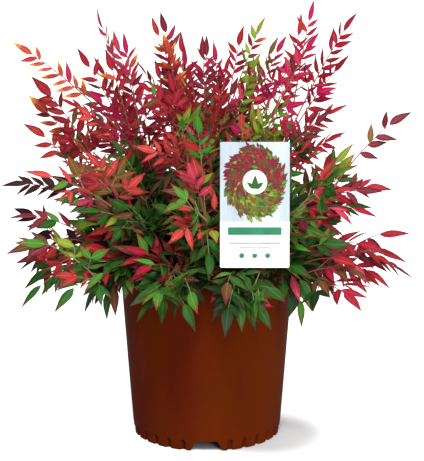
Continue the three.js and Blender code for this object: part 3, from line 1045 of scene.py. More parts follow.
class Colouring:
    """Deals the tints out by spray: red at the sunlit tips, green low down and in the shade, and darker low
    down and inside the crown, which is painted shade.
    """

    HEIGHTS = (215.0, 275.0, 335.0, 395.0, 450.0)
    RED_SHARES = (0.08, 0.14, 0.26, 0.7, 0.97)  # how many sprays are red at each height
    SIDES = ((60.0, 0.5), (110.0, 0.25))  # where more are, from a distance on, to the right and left
    SIDE_WIDTH = 120.0
    TOP = 400.0  # the height from which they have the colours of the top
    HIGH_REDS = 290.0  # and from which reds have the colours of the sides
    HIGH_GREENS = 340.0  # and from which greens turn
    LOW = 215.0  # and under which they have the hem's
    SHADE = (0.5, 0.72)  # the depths between which shade gives way to sun

    @staticmethod
    def pick(tints: Palette, dice: float) -> Tint:
        """Picks a tint.

        Args:
            tints: The palette.
            dice: Where the dice fall, from 0 to 1.

        Returns:
            The tint.
        """
        left = dice * sum(weight for _, weight in tints)
        for tint, weight in tints:
            left -= weight
            if left <= 0:
                return tint
        return tints[-1][0]

    @classmethod
    def redness(cls, place: Vector) -> float:
        """How likely a spray is red: more with its height and out to either side.

        Args:
            place: Where the spray ends.

        Returns:
            The chance.
        """
        high = float(np.interp(place.z, cls.HEIGHTS, cls.RED_SHARES))
        start, weight = cls.SIDES[0 if place.x > 0 else 1]
        return high + (1 - high) * weight * bounded((abs(place.x) - start) / cls.SIDE_WIDTH, 0.0, 1.0)

    @classmethod
    def tint(cls, place: Vector, key: float) -> Tint:
        """The tint of a spray.

        Args:
            place: Where the spray ends.
            key: A number of its own for the dice.

        Returns:
            Its tint.
        """
        dice, other, shade = (0.5 + 0.5 * vary(key, *keys) for keys in ((7, 5), (3, 8), (1, 6)))
        sun = (CROWN.depth(place) - cls.SHADE[0]) / (cls.SHADE[1] - cls.SHADE[0])
        # deep inside the crown a spray takes the darker inner palette, partly painted shade
        if place.z < cls.TOP and sun < shade:
            return cls.pick(SHADED_GREENS_AND_PAINTED_SHADE, dice)
        for patch in PATCHES:
            if sun > 0.5 and patch.covers(place, other):
                return cls.pick(patch.palette, dice)
        return cls.pick(cls.sunlit(place, other), dice)

    @classmethod
    def sunlit(cls, place: Vector, dice: float) -> Palette:
        """The palette of a sunlit spray.

        Args:
            place: Where the spray ends.
            dice: Where the dice fall, from 0 to 1.

        Returns:
            The palette.
        """
        if dice > cls.redness(place):
            # low sprays take the darker hem palette, partly painted shade under the crown
            return TURNING if place.z > cls.HIGH_GREENS else LEAFY if place.z > cls.LOW else HEM
        return TOP_REDS if place.z > cls.TOP else SIDE_REDS if place.z > cls.HIGH_REDS else LOW_REDS


# ---------------------------------------------------------------- leaflets and stalks


class Zone(Enum):
    """The zones of a leaflet."""

    BLADE = 0
    RIB = 1
    MARGIN = 2
    NECK = 3
    TIP = 4


@dataclass(frozen=True)
class LeafletShape:
    """One shape of leaflet: a slim pointed blade of unit length along +X with its face to +Z."""

    name: str
    fold: float  # how steeply its halves rise from the midrib
    curl: float  # how far its tip bends down
    sway: float  # how far its tip bends sideways
    twist: float  # degrees from base to tip
    half_width: float = 0.16
    thickness: float = 0.011
    stations: tuple[tuple[float, float], ...] = (
        (0.07, 0.36), (0.2, 0.82), (0.38, 1.0), (0.58, 0.8), (0.78, 0.42),
    )  # share of the length, and of the half width there

    def section(self, width: float) -> list[tuple[float, float]]:
        """The section at one station: from one edge over the top to the other edge, and under.

        Args:
            width: Its half width.

        Returns:
            Its places, across and up.
        """
        margin, rib, raised = 0.84 * width, min(0.011, 0.4 * width), self.thickness
        top = [(width, 0.0), (margin, raised), (rib, 0.4 * raised), (-rib, 0.4 * raised), (-margin, raised),
               (-width, 0.0)]
        return [(y, z + self.fold * abs(y)) for y, z in top] + [(0.0, -raised)]

    def bent(self, share: float, y: float, z: float) -> tuple[float, float, float]:
        """Moves a place of the straight blade as the leaflet bends and twists.

        Args:
            share: How far along the blade it is.
            y: How far across.
            z: How far up.

        Returns:
            The place.
        """
        angle = math.radians(self.twist) * (share - 0.5)
        across = y * math.cos(angle) - z * math.sin(angle)
        rise = y * math.sin(angle) + z * math.cos(angle)
        return share, across + self.sway * share * share, rise - self.curl * share * share

    def mesh(self) -> Mesh:
        """The closed blade, with a zone for each face and sharp edges where top and underside meet."""
        across = [Zone.MARGIN, Zone.BLADE, Zone.RIB, Zone.BLADE, Zone.MARGIN, Zone.BLADE, Zone.BLADE]
        necks = [zone if zone is Zone.RIB else Zone.NECK for zone in across]
        places = [self.bent(0, 0, 0)]
        for share, width in self.stations:
            places += [self.bent(share, y, z) for y, z in self.section(self.half_width * width)]
        tip, sides, count = len(places), len(across), len(self.stations)
        places.append(self.bent(1, 0, 0))
        mesh = bpy.data.meshes.new(self.name)
        mesh.from_pydata(places, [], skin(count, sides, True, True))
        mesh.shade_smooth()
        zones = [zone.value for zone in across * (count - 1) + necks + [Zone.TIP] * sides]
        mesh.attributes.new("zone", "INT", "FACE").data.foreach_set("value", zones)
        rim = {0, tip, *range(1, tip, sides), *range(sides - 1, tip, sides)}
        sharp = mesh.attributes.new("sharp_edge", "BOOLEAN", "EDGE")
        sharp.data.foreach_set("value", [set(edge.vertices) <= rim for edge in mesh.edges])
        return mesh


LEAFLET_SHAPES = (
    LeafletShape("leaflet_a", 0.22, 0.06, 0.02, 6),
    LeafletShape("leaflet_b", 0.34, 0.12, -0.03, -10),
    LeafletShape("leaflet_c", -0.12, 0.16, 0.04, 14),
    LeafletShape("leaflet_d", 0.28, -0.02, -0.02, -4),
    LeafletShape("leaflet_e", 0.16, 0.22, 0.05, -16),
    LeafletShape("leaflet_f", 0.42, 0.09, 0.0, 8, 0.14),
)


class Sprigs:
    """The leaflets and stalks of some masses, gathered until the trees of nodes make them."""

    def __init__(self) -> None:
        """Starts with none."""
        self.places: list[Vector] = []
        self.turns: list[Quaternion] = []
        self.sizes: list[tuple[float, float, float]] = []
        self.tints: list[int] = []
        self.shapes: list[int] = []
        self.lines: list[tuple[list[Vector], list[float], int]] = []

    def leaflet(self, base: Vector, way: Vector, face: Vector, length: float, tint: Tint, key: float,
                breadth: float = 1.0) -> None:
        """Adds a leaflet.

        Args:
            base: Where it leaves its stalk.
            way: Where it points.
            face: Where its upper face looks, roughly.
            length: Its length.
            tint: Its colours.
            key: A number of its own, for its shape and width.
            breadth: How many times as broad as usual it is.
        """
        way = way.normalized()
        side = face.cross(way).normalized()
        self.places.append(base)
        self.turns.append(Matrix((way, side, way.cross(side))).transposed().to_quaternion())
        self.sizes.append((length, length * breadth * (1 + 0.14 * vary(key, 2, 9)), length))
        self.tints.append(TINTS.index(tint))
        self.shapes.append(int(len(LEAFLET_SHAPES) * (0.4999 + 0.4999 * vary(key, 9, 4))))

    def stalk(self, places: list[Vector], radii: tuple[float, float], tint: Tint) -> None:
        """Adds a stalk that narrows from its first to its last place.

        Args:
            places: The places.
            radii: Its radius at the first and the last.
            tint: The tint of the leaflets that it carries.
        """
        last = len(places) - 1
        thick = [lerp(*radii, i / last) for i in range(len(places))]
        self.lines.append((places, thick, TWIG_TINTS.index(TwigTint.under(tint))))


@dataclass(frozen=True)
class FrondRule:
    """How a frond carries its pinnae and leaflets, in millimetres and degrees."""

    first: float = 0.2  # the share of the frond where its first pinnae grow
    slim_first: float = 0.4  # and on the longest sprays
    step: float = 18.0  # between pairs of pinnae
    fine_step: float = 14.5  # between pairs of single leaflets
    simple: float = 62.0  # this near the tip, single leaflets grow in place of pinnae
    slim_simple: float = 1.8  # how many times as far on the longest sprays
    end_leaflet: float = 36.0
    pinnae: tuple[float, float] = (41.0, 52.0)  # their length near the tip and at the foot of the frond
    leaflets: tuple[float, float] = (23.0, 32.0)  # the single ones' length at the tip and before it
    openings: tuple[float, float] = (34.0, 54.0)  # of a side branch near the tip and at the foot
    stagger: float = 2.0  # between the two of a pair
    missing: tuple[float, float] = (0.06, 0.36)  # how many have dropped, inside the crown and at its outside
    slim_missing: float = 0.4  # the share of these that the longest sprays miss
    own_tint: float = 0.3  # the dice above which a side branch has a tint of its own
    pinna_end: float = 0.36  # the share of a pinna where its end leaflet grows
    pinna_sides: tuple[tuple[float, float, float], ...] = ((0.32, 44, 0.52), (0.06, 60, 0.4))
    stalk: tuple[float, float] = (1.15, 0.45)  # its radius from foot to tip
    pinna_stalk: tuple[float, float] = (0.7, 0.45)
    roll: float = 32.0  # how far a frond turns about its stalk
    pinna_roll: float = 26.0
    leaflet_roll: float = 34.0
    sunward: Vector = field(default_factory=lambda: Vector((-0.2, -0.85, 0.45)))  # where leaves turn to
    sunless: float = 130.0  # this far behind the middle, they hardly turn to it
    aside: float = 480.0  # and this far to either side
    aside_heights: tuple[float, float] = (230.0, 350.0)  # from the first height on, and fully from the second


RULE = FrondRule()
CLEAR_SHARES = (0.05, 0.2, 0.4, 0.55, 0.7, 0.85, 1)  # of a leaflet or a stalk, where it needs room


class Growth:
    """Grows the fine leaflets of one frond."""

    def __init__(self, frond: Frond, tier: Tier, key: float, room: Room, sprigs: Sprigs) -> None:
        """Works out how the frond is coloured and turned.

        Args:
            frond: The frond.
            tier: The tier of its mass.
            key: A number of its own.
            room: Where it may grow.
            sprigs: What its leaflets and stalks are added to.
        """
        self.frond, self.tier, self.key, self.room, self.sprigs = frond, tier, key, room, sprigs
        tip = frond.bow.tip
        self.tint = Colouring.tint(tip, key)
        self.length = frond.bow.length()
        outwards = tip - CROWN.heart
        outwards.z *= 0.3
        outwards.normalize()
        aside = abs(tip.x) / RULE.aside * float(np.interp(tip.z, RULE.aside_heights, (0, 1)))
        sun = (1 - bounded(tip.y / RULE.sunless, 0.0, 0.8)) * (1 - aside)
        self.outwards = outwards * 0.65 + RULE.sunward * sun
        self.roll = math.radians(RULE.roll * vary(key, 1, 3) * (0.5 if frond.slim else 1))

    def grow(self) -> None:
        """Grows the stalk, pinnae, then single leaflets, and one leaflet at the end."""
        bow, size, slim = self.frond.bow, self.tier.leaflet, self.frond.slim
        share = 1 - RULE.end_leaflet * size / self.length
        end = bow.at(share)
        if not self.free([bow.foot, end], [end, bow.tip]).all():
            return
        self.sprigs.stalk(bow.stretch(0.02, share, 8), RULE.stalk, self.tint)
        simple = RULE.simple * (RULE.slim_simple if slim else 1)
        at = (RULE.slim_first if slim else RULE.first) * self.length
        number = 0
        while at < share * self.length - 3:
            left = (self.length - at) / simple
            for hand in (-1, 1):
                own = self.key + 3.1 * number + 0.7 * hand
                self.side((at + RULE.stagger * hand) / self.length, hand, left, own)
            at += (RULE.fine_step if left < 1 else RULE.step) * size
            number += 1
        way = (bow.tip - end).normalized()
        self.leaf(end, way, self.facing(way), RULE.end_leaflet * size, self.tint, self.key)

    def side(self, share: float, hand: int, left: float, key: float) -> None:
        """Grows a pinna, or nearer to the tip a single leaflet, on one side of the frond.

        Args:
            share: Where on the frond it grows.
            hand: -1 or 1, its side.
            left: How far it is from there to the tip, as a share of the stretch of single leaflets.
            key: A number of its own.
        """
        base = self.frond.bow.at(share)
        outer = bounded(CROWN.depth(base) * 2.5 - 1.25, 0.0, 1.0)
        outer *= RULE.slim_missing if self.frond.slim else 1
        if vary(key, 8, 8) > 1 - 2 * lerp(*RULE.missing, outer):
            return
        way = self.frond.bow.way(share)
        face = self.facing(way)
        near = min(1 - share, 1.0)
        opening = lerp(*RULE.openings, near) * (1 + 0.2 * vary(key, 1, 1))
        way = sagging(rotated(way, face, hand * math.radians(opening)), 0.06, 0.08, key)
        tint = Colouring.tint(base + way * 40, key) if vary(key, 5, 1) > RULE.own_tint else self.tint
        if left >= 1:
            long = lerp(*RULE.pinnae, near) * self.tier.leaflet * (1 + 0.12 * vary(key, 2, 2))
            self.pinna(base, way, rolled(face, way, RULE.pinna_roll * vary(key, 6, 6)), long, tint, key)
            return
        long = lerp(*RULE.leaflets, left) * self.tier.leaflet * (1 + 0.14 * vary(key, 2, 2))
        if self.free([base], [base + way * long]).all():
            self.leaf(base, way, rolled(face, way, RULE.leaflet_roll * vary(key, 6, 6)), long, tint, key)

    def pinna(self, base: Vector, way: Vector, face: Vector, length: float, tint: Tint, key: float) -> None:
        """Grows one pinna.

        Args:
            base: Its root on the frond's stalk.
            way: Where it points.
            face: Where its leaflets' upper faces look.
            length: Its length from root to tip.
            tint: Its colours.
            key: A number of its own.
        """
        wanted = [(RULE.pinna_end, 0.0, 1 - RULE.pinna_end)]
        for share, opening, size in RULE.pinna_sides[: 2 if vary(key, 4, 7) > 0.1 else 1]:
            wanted += [(share, hand * opening, size) for hand in (-1, 1)]
        drawn = []
        for number, (share, opening, size) in enumerate(wanted):
            own = key + 0.61 * number
            opened = math.radians(opening * (1 + 0.15 * vary(own, 1, 2)))
            its_way = sagging(rotated(way, face, opened), 0.04, 0.1, own)
            its_face = rolled(face, its_way, RULE.leaflet_roll * vary(own, 6, 6))
            long = size * length * (1 + 0.12 * vary(own, 4, 2))
            drawn.append((base + way * share * length, its_way, its_face, long, tint, own))
        has_room = self.free([leaf[0] for leaf in drawn], [leaf[0] + leaf[1] * leaf[3] for leaf in drawn])
        for leaf, is_free in zip(drawn, has_room):
            if is_free:
                self.leaf(*leaf)
        if has_room.any():
            reach = RULE.pinna_end * length
            line = [base - way * 0.4, base + way * 0.5 * reach, base + way * reach]
            self.sprigs.stalk(line, RULE.pinna_stalk, tint)

    def leaf(self, base: Vector, way: Vector, face: Vector, length: float, tint: Tint, key: float) -> None:
        """Adds a leaflet as broad as the tier's leaflets are."""
        self.sprigs.leaflet(base, way, face, length, tint, key, self.tier.breadth)

    def free(self, starts: Sequence[Vector], ends: Sequence[Vector]) -> np.ndarray:
        """Which leaflets or stalks have room from their starts to their ends."""
        places = rows(a.lerp(b, share) for a, b in zip(starts, ends) for share in CLEAR_SHARES)
        return self.room.holds(places, self.frond).reshape(-1, len(CLEAR_SHARES)).all(axis=1)

    def facing(self, way: Vector) -> Vector:
        """Where the upper faces along a stalk look: up, outwards and to the light, then rolled."""
        return rotated(squared(self.outwards + UP * 0.38, way), way, self.roll)


# ---------------------------------------------------------------- the trees that make foliage


class FoliageTrees:
    """The trees of nodes that turn gathered sprigs into meshes."""

    def __init__(self) -> None:
        """Builds both trees and the leaflet shapes."""
        self.shapes = gathered("leaflet_shapes", [shape.mesh() for shape in LEAFLET_SHAPES])
        self.leaflet_tree = self._leaflet_tree()
        self.stalk_tree = self._stalk_tree()

    @staticmethod
    def _leaflet_tree() -> NodeTree:
        """Puts a leaflet on each point and deals out its tint's materials by zone."""
        inputs = {"Geometry": "Geometry", "Shapes": "Collection", "Size": "Float"}
        writer = NodeWriter.group("Leaflets", "Geometry", inputs, {"Geometry": "Geometry"})
        given = writer.given()
        size = writer.attribute("size", "FLOAT_VECTOR")
        size = writer.value("ShaderNodeVectorMath", {"operation": "SCALE"}, size, given["Size"])
        last = writer.picked(
            given["Geometry"], given["Shapes"], Instance_Index=writer.attribute("shape", "INT"),
            Rotation=writer.attribute("turn", "QUATERNION"), Scale=size,
        )
        for number, tint in enumerate(TINTS):
            is_tint = writer.chosen("tint", number)
            for zone, material in zip(Zone, tint.value.materials()):
                is_zone = writer.chosen("zone", zone.value)
                where = writer.value("FunctionNodeBooleanMath", {"operation": "AND"}, is_tint, is_zone)
                last = writer.value("GeometryNodeSetMaterial", None, last, where, material)
        return writer.ended(last)

    @staticmethod
    def _stalk_tree() -> NodeTree:
        """Turns lines into closed stalks of their own radius and colour."""
        inputs = {"Geometry": "Geometry", "Sides": "Int"}
        writer = NodeWriter.group("Stalks", "Geometry", inputs, {"Geometry": "Geometry"})
        given = writer.given()
        line = writer.value("GeometryNodeMeshToCurve", None, given["Geometry"])
        thick = writer.attribute("thick", "FLOAT")
        mode = {"mode": "RADIUS"}
        ring = writer.value("GeometryNodeCurvePrimitiveCircle", mode, given["Sides"], Radius=1.0)
        last = writer.value("GeometryNodeCurveToMesh", None, line, ring, Scale=thick, Fill_Caps=True)
        last = writer.value("GeometryNodeSetShadeSmooth", None, last, Shade_Smooth=True)
        last = writer.value("GeometryNodeRealizeInstances", None, last)
        for number, tint in enumerate(TWIG_TINTS):
            is_kind = writer.chosen("kind", number)
            last = writer.value("GeometryNodeSetMaterial", None, last, is_kind, tint.material())
        return writer.ended(last)

    @staticmethod
    def _made(name: str, places: Sequence, edges: Sequence, attributes: dict[str, tuple[str, Sequence]],
              tree: NodeTree, inputs: dict[str, object]) -> Object:
        """Makes a piece from points or lines.

        Args:
            name: The piece's name.
            places: The places in millimetres.
            edges: The pairs of them that lines join.
            attributes: The kind and the values of each attribute of the places, for the tree.
            tree: The tree.
            inputs: A value for each of its named inputs.

        Returns:
            The piece, without the attributes.
        """
        mesh = bpy.data.meshes.new(f"{name}_plan")
        mesh.from_pydata((np.array(places) * MM).tolist(), edges, [])
        for label, (kind, values) in attributes.items():
            data = mesh.attributes.new(label, kind, "POINT").data
            data.foreach_set("vector" if kind == "FLOAT_VECTOR" else "value", np.ravel(values).tolist())
        plan = shown(mesh.name, mesh)
        made = grown(plan, tree, inputs)
        bpy.data.objects.remove(plan)
        for label in (*attributes, "zone"):
            if label in made.attributes:
                made.attributes.remove(made.attributes[label])
        return shown(name, made)

    def leaflets(self, name: str, sprigs: Sprigs) -> Object:
        """The gathered leaflets as one object.

        Args:
            name: The object's name.
            sprigs: What has been gathered.

        Returns:
            The object.
        """
        attributes = {
            "turn": ("QUATERNION", rows(sprigs.turns)), "size": ("FLOAT_VECTOR", np.array(sprigs.sizes) * MM),
            "tint": ("INT", sprigs.tints), "shape": ("INT", sprigs.shapes),
        }
        inputs = {"Shapes": self.shapes, "Size": 1.0}
        return self._made(name, rows(sprigs.places), [], attributes, self.leaflet_tree, inputs)

    def stalks(self, name: str, sprigs: Sprigs) -> Object:
        """The gathered stalks as one object.

        Args:
            name: The object's name.
            sprigs: What has been gathered.

        Returns:
            The object.
        """
        places, edges, thick, kinds = [], [], [], []
        for line, radii, kind in sprigs.lines:
            edges += [(len(places) + i, len(places) + i + 1) for i in range(len(line) - 1)]
            places += [tuple(place) for place in line]
            thick += [radius * MM for radius in radii]
            kinds += [kind] * len(line)
        attributes = {"thick": ("FLOAT", thick), "kind": ("INT", kinds)}
        return self._made(name, places, edges, attributes, self.stalk_tree, {"Sides": 5})


class Foliage:
    """The masses of leaves and twigs of the whole plant."""

    def build(self, clump: Clump, trees: FoliageTrees) -> None:
        """Makes a piece of leaflets and a piece of stalks for each tier.

        Args:
            clump: The plan of the plant.
            trees: The trees of nodes.
        """
        for tier in TIERS:
            masses = [mass for mass in clump.masses if mass.tier is tier]
            sprigs = Sprigs()
            for mass in masses:
                room = Room(mass, clump.masses)
                for frond in clump.fronds(mass, room):
                    Growth(frond, tier, mass.key + 0.137 * frond.number, room, sprigs).grow()
            leaves = trees.leaflets(f"leaves_{tier.name}_1", sprigs)
            placed(leaves, [f"foliage_{mass.label}" for mass in masses])
            placed(trees.stalks(f"stalks_{tier.name}_1", sprigs))
            log.info("%s: %d leaflets, %d stalks", tier.name, len(sprigs.places), len(sprigs.lines))


# ---------------------------------------------------------------- canes


@dataclass(frozen=True)
class Canes:
    """The canes, from a flare at the soil through the foliage to their tips, with ridged bark."""

    flare: float = 6.4
    foot: float = 4.2
    fork: float = 3.2  # at the end of the bare cane
    tip: float = 1.3
    sides: int = 14
    rings: int = 44
    end: float = 0.985  # the share of the limb where a cane ends
    collar_every: float = 17.0  # between the scars of old leaf bases
    collar: float = 0.16  # how far these stand out, as a share of the radius

    def radius(self, share: float, length: float, angle: float, key: int) -> float:
        """The radius of a cane.

        Args:
            share: The share of the limb.
            length: The limb's length.
            angle: The angle round it.
            key: The mass's key.

        Returns:
            The radius there.
        """
        bare = share / CANE_SHARE
        smooth = lerp(self.foot, self.fork, bare)
        if bare >= 1:
            smooth = lerp(self.fork, self.tip, (share - CANE_SHARE) / (1 - CANE_SHARE))
        smooth += (self.flare - self.foot) * max(0.0, 1 - bare / 0.12) ** 2
        along = share * length / self.collar_every + 0.5 * vary(key, 4, 4)
        collar = math.exp(-(((along % 1) - 0.5) * 7) ** 2)
        ridges = 0.035 * math.sin(7 * angle + key) + 0.02 * math.sin(13 * angle - 2 * key + 9 * share)
        return smooth * (1 + self.collar * collar + ridges)

    def skin(self, mass: Mass) -> Mesh:
        """The skin of one cane, whose foot is level.

        Args:
            mass: The mass that it carries.

        Returns:
            The mesh.
        """
        length = mass.limb.length()
        places = []
        for ring in range(self.rings + 1):
            share = ring / self.rings * self.end
            centre, way = mass.limb.at(share), mass.limb.way(share)
            first = way.cross(Vector((0.31, 0.95, 0.05))).normalized()
            second = way.cross(first)
            for side in range(self.sides):
                angle = 2 * math.pi * side / self.sides
                around = first * math.cos(angle) + second * math.sin(angle)
                places.append(centre + around * self.radius(share, length, angle, mass.key))
                if ring == 0:
                    places[-1].z = CONTAINER.soil_top + GAP
        return loft("cane", rows(places).reshape(-1, self.sides, 3))

    def build(self, clump: Clump) -> None:
        """Makes all canes as one piece.

        Args:
            clump: The plan of the plant.
        """
        canes = joined("canes", [(BARK, self.skin(mass)) for mass in clump.masses])
        canes.data.shade_smooth()
        placed(canes, [f"cane_{mass.label}" for mass in clump.masses])


# ---------------------------------------------------------------- pot


@dataclass(frozen=True)
class PotForm:
    """The moulded pot: a tapered wall with a rolled lip, a fluted foot and four drains."""

    size: Container = CONTAINER
    turns: int = 720
    flute_pitch: float = 12
    flute_width: float = 5.6
    flute_depth: float = 5.2
    flute_height: float = 13
    flute_edge: float = 1.1  # the width over which its side falls in
    drain_top: float = 27
    drain_foot: float = 40
    drain_height: float = 12.4
    edge: float = 0.7  # the roundness of moulded edges
    foot_heights: tuple[float, ...] = (
        0.25, 1, 2.5, 4.5, 6.5, 8.5, 9.8, 10.8, 11.6, 12.4, 13.1, 13.8, 15, 17, 19,
    )  # up to the last of them, the foot's shape changes round the pot
    wall_heights: tuple[float, ...] = (30, 60, 90, 120, 150, 175, 196, 198.4)
    lip_under: Outline = ((3.0, 0.3), (0.8, 1.4), (0.2, 2.2), (0.0, 3.4))  # in and up from its foot
    lip_over: Outline = ((0.0, 2.4), (0.3, 1.1), (1.1, 0.3), (2.2, 0.0))  # in and down from the top
    lip_inside: Outline = ((0.8, 0.0), (0.15, 0.4), (0.0, 1.4))  # out from the inner wall, and down
    inner_heights: tuple[float, ...] = (200, 160, 110, 60, 18)

    def aside(self, turn: float, pitch: float) -> float:
        """How far round the foot a turn is from the nearest multiple of a pitch, both in degrees."""
        return abs(math.radians((turn + pitch / 2) % pitch - pitch / 2)) * self.size.foot_radius

    def drain_rise(self, turn: float) -> float:
        """How high the lower edge of the foot is.

        Args:
            turn: The turn in degrees.

        Returns:
            The height there.
        """
        slope = (self.drain_foot - self.drain_top) / 2 / self.drain_height
        return bounded((self.drain_foot / 2 - self.aside(turn, 90)) / slope, 0.0, self.drain_height)

    def flute(self, turn: float, height: float) -> float:
        """How deep the wall is dented.

        Args:
            turn: The turn in degrees.
            height: The height.

        Returns:
            The depth there.
        """
        near = turn % 90
        if near < self.flute_pitch - 3 or near > 90 - self.flute_pitch + 3:
            return 0.0
        arch = max(0.0, height - (self.flute_height - self.flute_width / 2))
        distance = math.hypot(self.aside(turn, self.flute_pitch), arch) - self.flute_width / 2
        return self.flute_depth * bounded(0.5 - distance / self.flute_edge, 0.0, 1.0)

    def profile(self, turn: float) -> Outline:
        """The section at a turn, from the middle of the underside over the lip to the floor.

        Args:
            turn: The turn in degrees.

        Returns:
            The radius and height of each of its places.
        """
        size, edge = self.size, self.edge
        rise = self.drain_rise(turn)
        recess_rise = min(rise, size.recess_top)
        points = [
            (size.recess_from - edge, 0.0), (size.recess_from, edge), (size.recess_from + 2, size.recess_top),
            (size.recess_to - 2, size.recess_top),
            (size.recess_to - 0.3, min(recess_rise + edge, size.recess_top)),
            (size.recess_to + edge, recess_rise), (size.foot_radius - 4, rise),
            (size.foot_radius - edge - self.flute(turn, 0), rise),
        ]
        band = self.foot_heights[-1]
        for height in self.foot_heights:
            at = rise + height * (band - rise) / band
            inset = edge * max(0.0, 1 - height / edge) * 0.5
            points.append((size.radius(at) - self.flute(turn, at) - inset, at))
        points += [(size.radius(at), at) for at in self.wall_heights]
        lip, lip_foot = size.lip_radius, size.height - size.lip_height
        inside = size.radius(size.height) - size.wall
        points += [(lip - inwards, lip_foot + up) for inwards, up in self.lip_under]
        points += [(lip - inwards, size.height - down) for inwards, down in self.lip_over]
        points += [(inside + outwards, size.height - down) for outwards, down in self.lip_inside]
        points += [(size.radius(at) - size.wall, at) for at in self.inner_heights]
        return [*points, (size.radius(size.floor_top) - size.wall - 2, size.floor_top)]

    def build(self) -> None:
        """Makes the pot."""
        turns = np.arange(self.turns) * 360 / self.turns
        spread, height = np.array([self.profile(turn) for turn in turns]).T
        angles = np.radians(turns)
        rings = np.stack([spread * np.cos(angles), spread * np.sin(angles), height], axis=2)
        pot = joined("pot_moulded", [(PLASTIC, loft("pot", rings, (0, 0, 0), (0, 0, self.size.floor_top)))])
        pot.data.shade_smooth()
        placed(pot, ["pot"])


# ---------------------------------------------------------------- soil


@dataclass(frozen=True)
class Mulch:
    """The soil: an uneven bed of loam under loose chips of bark."""

    size: Container = CONTAINER
    rings: int = 22
    turns: int = 72
    clearance: float = 0.5
    chip_size: Outline = ((4.2, 0.3), (2.1, 0.35), (0.8, 0.3))  # along each axis, and how far it varies
    chip_spacing: float = 5.0
    chip_scales: tuple[float, float] = (0.7, 1.9)
    chip_kinds: int = 4
    tilt: float = 0.5  # in radians, to either side
    level: float = 0.6  # how far up a face has to look for a chip to lie on it
    seed: int = 11

    def height(self, x: float, y: float) -> float:
        """The height of the bed, which is highest near the middle.

        Args:
            x: How far across.
            y: How far behind.

        Returns:
            The height there.
        """
        spread = math.hypot(x, y)
        waves = math.sin(x / 9.0 + 1.3) * math.cos(y / 7.0) + 0.6 * math.sin((x + y) / 4.1)
        return self.size.soil_top - 2.6 - 3.2 * max(0.0, (spread - 66) / 40) ** 2 + 0.55 * waves

    def bed(self) -> Mesh:
        """The closed bed."""
        radius = self.size.radius(self.size.soil_top - 6) - self.size.wall - self.clearance
        floor = self.size.floor_top + GAP
        floor_radius = self.size.radius(floor) - self.size.wall - self.clearance - 1.5
        rings = []
        for ring in range(1, self.rings + 1):
            outline = disc_outline(0, 0, radius * ring / self.rings, sides=self.turns)
            rings.append([(x, y, self.height(x, y)) for x, y in outline])
        rings.append([(x, y, floor) for x, y in disc_outline(0, 0, floor_radius, sides=self.turns)])
        return loft("loam", np.array(rings), (0.0, 0.0, self.height(0, 0)))

    def chip(self, number: int) -> Mesh:
        """One chip of bark: a thin uneven block with broken corners.

        Args:
            number: Its number.

        Returns:
            The mesh.
        """
        form = bmesh.new()
        bmesh.ops.create_cube(form, size=MM)
        bmesh.ops.bevel(form, geom=form.edges[:], offset=0.14 * MM, segments=1, affect="EDGES")
        for i, corner in enumerate(form.verts):
            for axis, (size, varied) in enumerate(self.chip_size):
                corner.co[axis] *= size * (1 + varied * vary(number, i, axis + 1))
        mesh = bpy.data.meshes.new(f"chip_{number}")
        form.to_mesh(mesh)
        form.free()
        return mesh

    def chip_tree(self) -> NodeTree:
        """The tree that scatters chips over the bed."""
        inputs = {"Geometry": "Geometry", "Chips": "Collection", "Spacing": "Float", "Seed": "Int"}
        writer = NodeWriter.group("BarkChips", "Geometry", inputs, {"Geometry": "Geometry"})
        given = writer.given()
        seed = given["Seed"]
        normal = writer.value("GeometryNodeInputNormal")
        upward = writer.add("ShaderNodeSeparateXYZ", None, normal).outputs["Z"]
        settings = {"data_type": "FLOAT", "operation": "GREATER_THAN"}
        on_top = writer.value("FunctionNodeCompare", settings, upward, self.level)
        top = writer.value("GeometryNodeSeparateGeometry", {"domain": "FACE"}, given["Geometry"], on_top)
        points = writer.value(
            "GeometryNodeDistributePointsOnFaces", {"distribute_method": "POISSON"}, top,
            Distance_Min=given["Spacing"], Density_Max=90000.0, Density_Factor=1.0, Seed=seed,
        )
        low, high = (-self.tilt, -self.tilt, 0.0), (self.tilt, self.tilt, 6.28)
        turn = writer.value("FunctionNodeRandomValue", {"data_type": "FLOAT_VECTOR"}, low, high, Seed=seed)
        turn = writer.value("FunctionNodeEulerToRotation", None, turn)
        scale = writer.value("FunctionNodeRandomValue", {"data_type": "FLOAT"}, *self.chip_scales, Seed=seed)
        laid = writer.picked(points, given["Chips"], Rotation=turn, Scale=scale)
        return writer.ended(writer.value("GeometryNodeSetMaterial", None, laid, Material=CHIPS.material()))

    def kept_in(self, chips: Mesh) -> Mesh:
        """Presses all that would reach through the pot's wall back against it.

        Args:
            chips: The chips.

        Returns:
            The same mesh.
        """
        flat = np.empty(3 * len(chips.vertices))
        chips.vertices.foreach_get("co", flat)
        places = flat.reshape(-1, 3)
        reach = self.size.radius(places[:, 2] / MM) - self.size.wall - self.clearance
        places[:, :2] *= np.minimum(1, reach * MM / np.hypot(places[:, 0], places[:, 1]))[:, None]
        chips.vertices.foreach_set("co", places.ravel())
        return chips

    def build(self) -> None:
        """Makes the bed and its chips."""
        bed = joined("loam", [(LOAM, self.bed())])
        bed.data.shade_smooth()
        kinds = gathered("chips", [self.chip(number) for number in range(self.chip_kinds)])
        inputs = {"Chips": kinds, "Spacing": self.chip_spacing * MM, "Seed": self.seed}
        chips = shown("bark_mulch", self.kept_in(grown(bed, self.chip_tree(), inputs)))
        dropped(kinds)
        placed(bed, ["soil"])
        placed(chips)


# ---------------------------------------------------------------- label


def prism(outline: Outline, back: float, front: float) -> Mesh:
    """A closed flat piece that lies along the label's card.

    Args:
        outline: Its outline's places across and up the card, anticlockwise.
        back: How far out of the card's back it starts.
        front: How far out it ends.

    Returns:
        Its mesh.
    """
    return loft("prism", np.array([[LABEL.place(x, y, out) for x, y in outline] for out in (back, front)]))


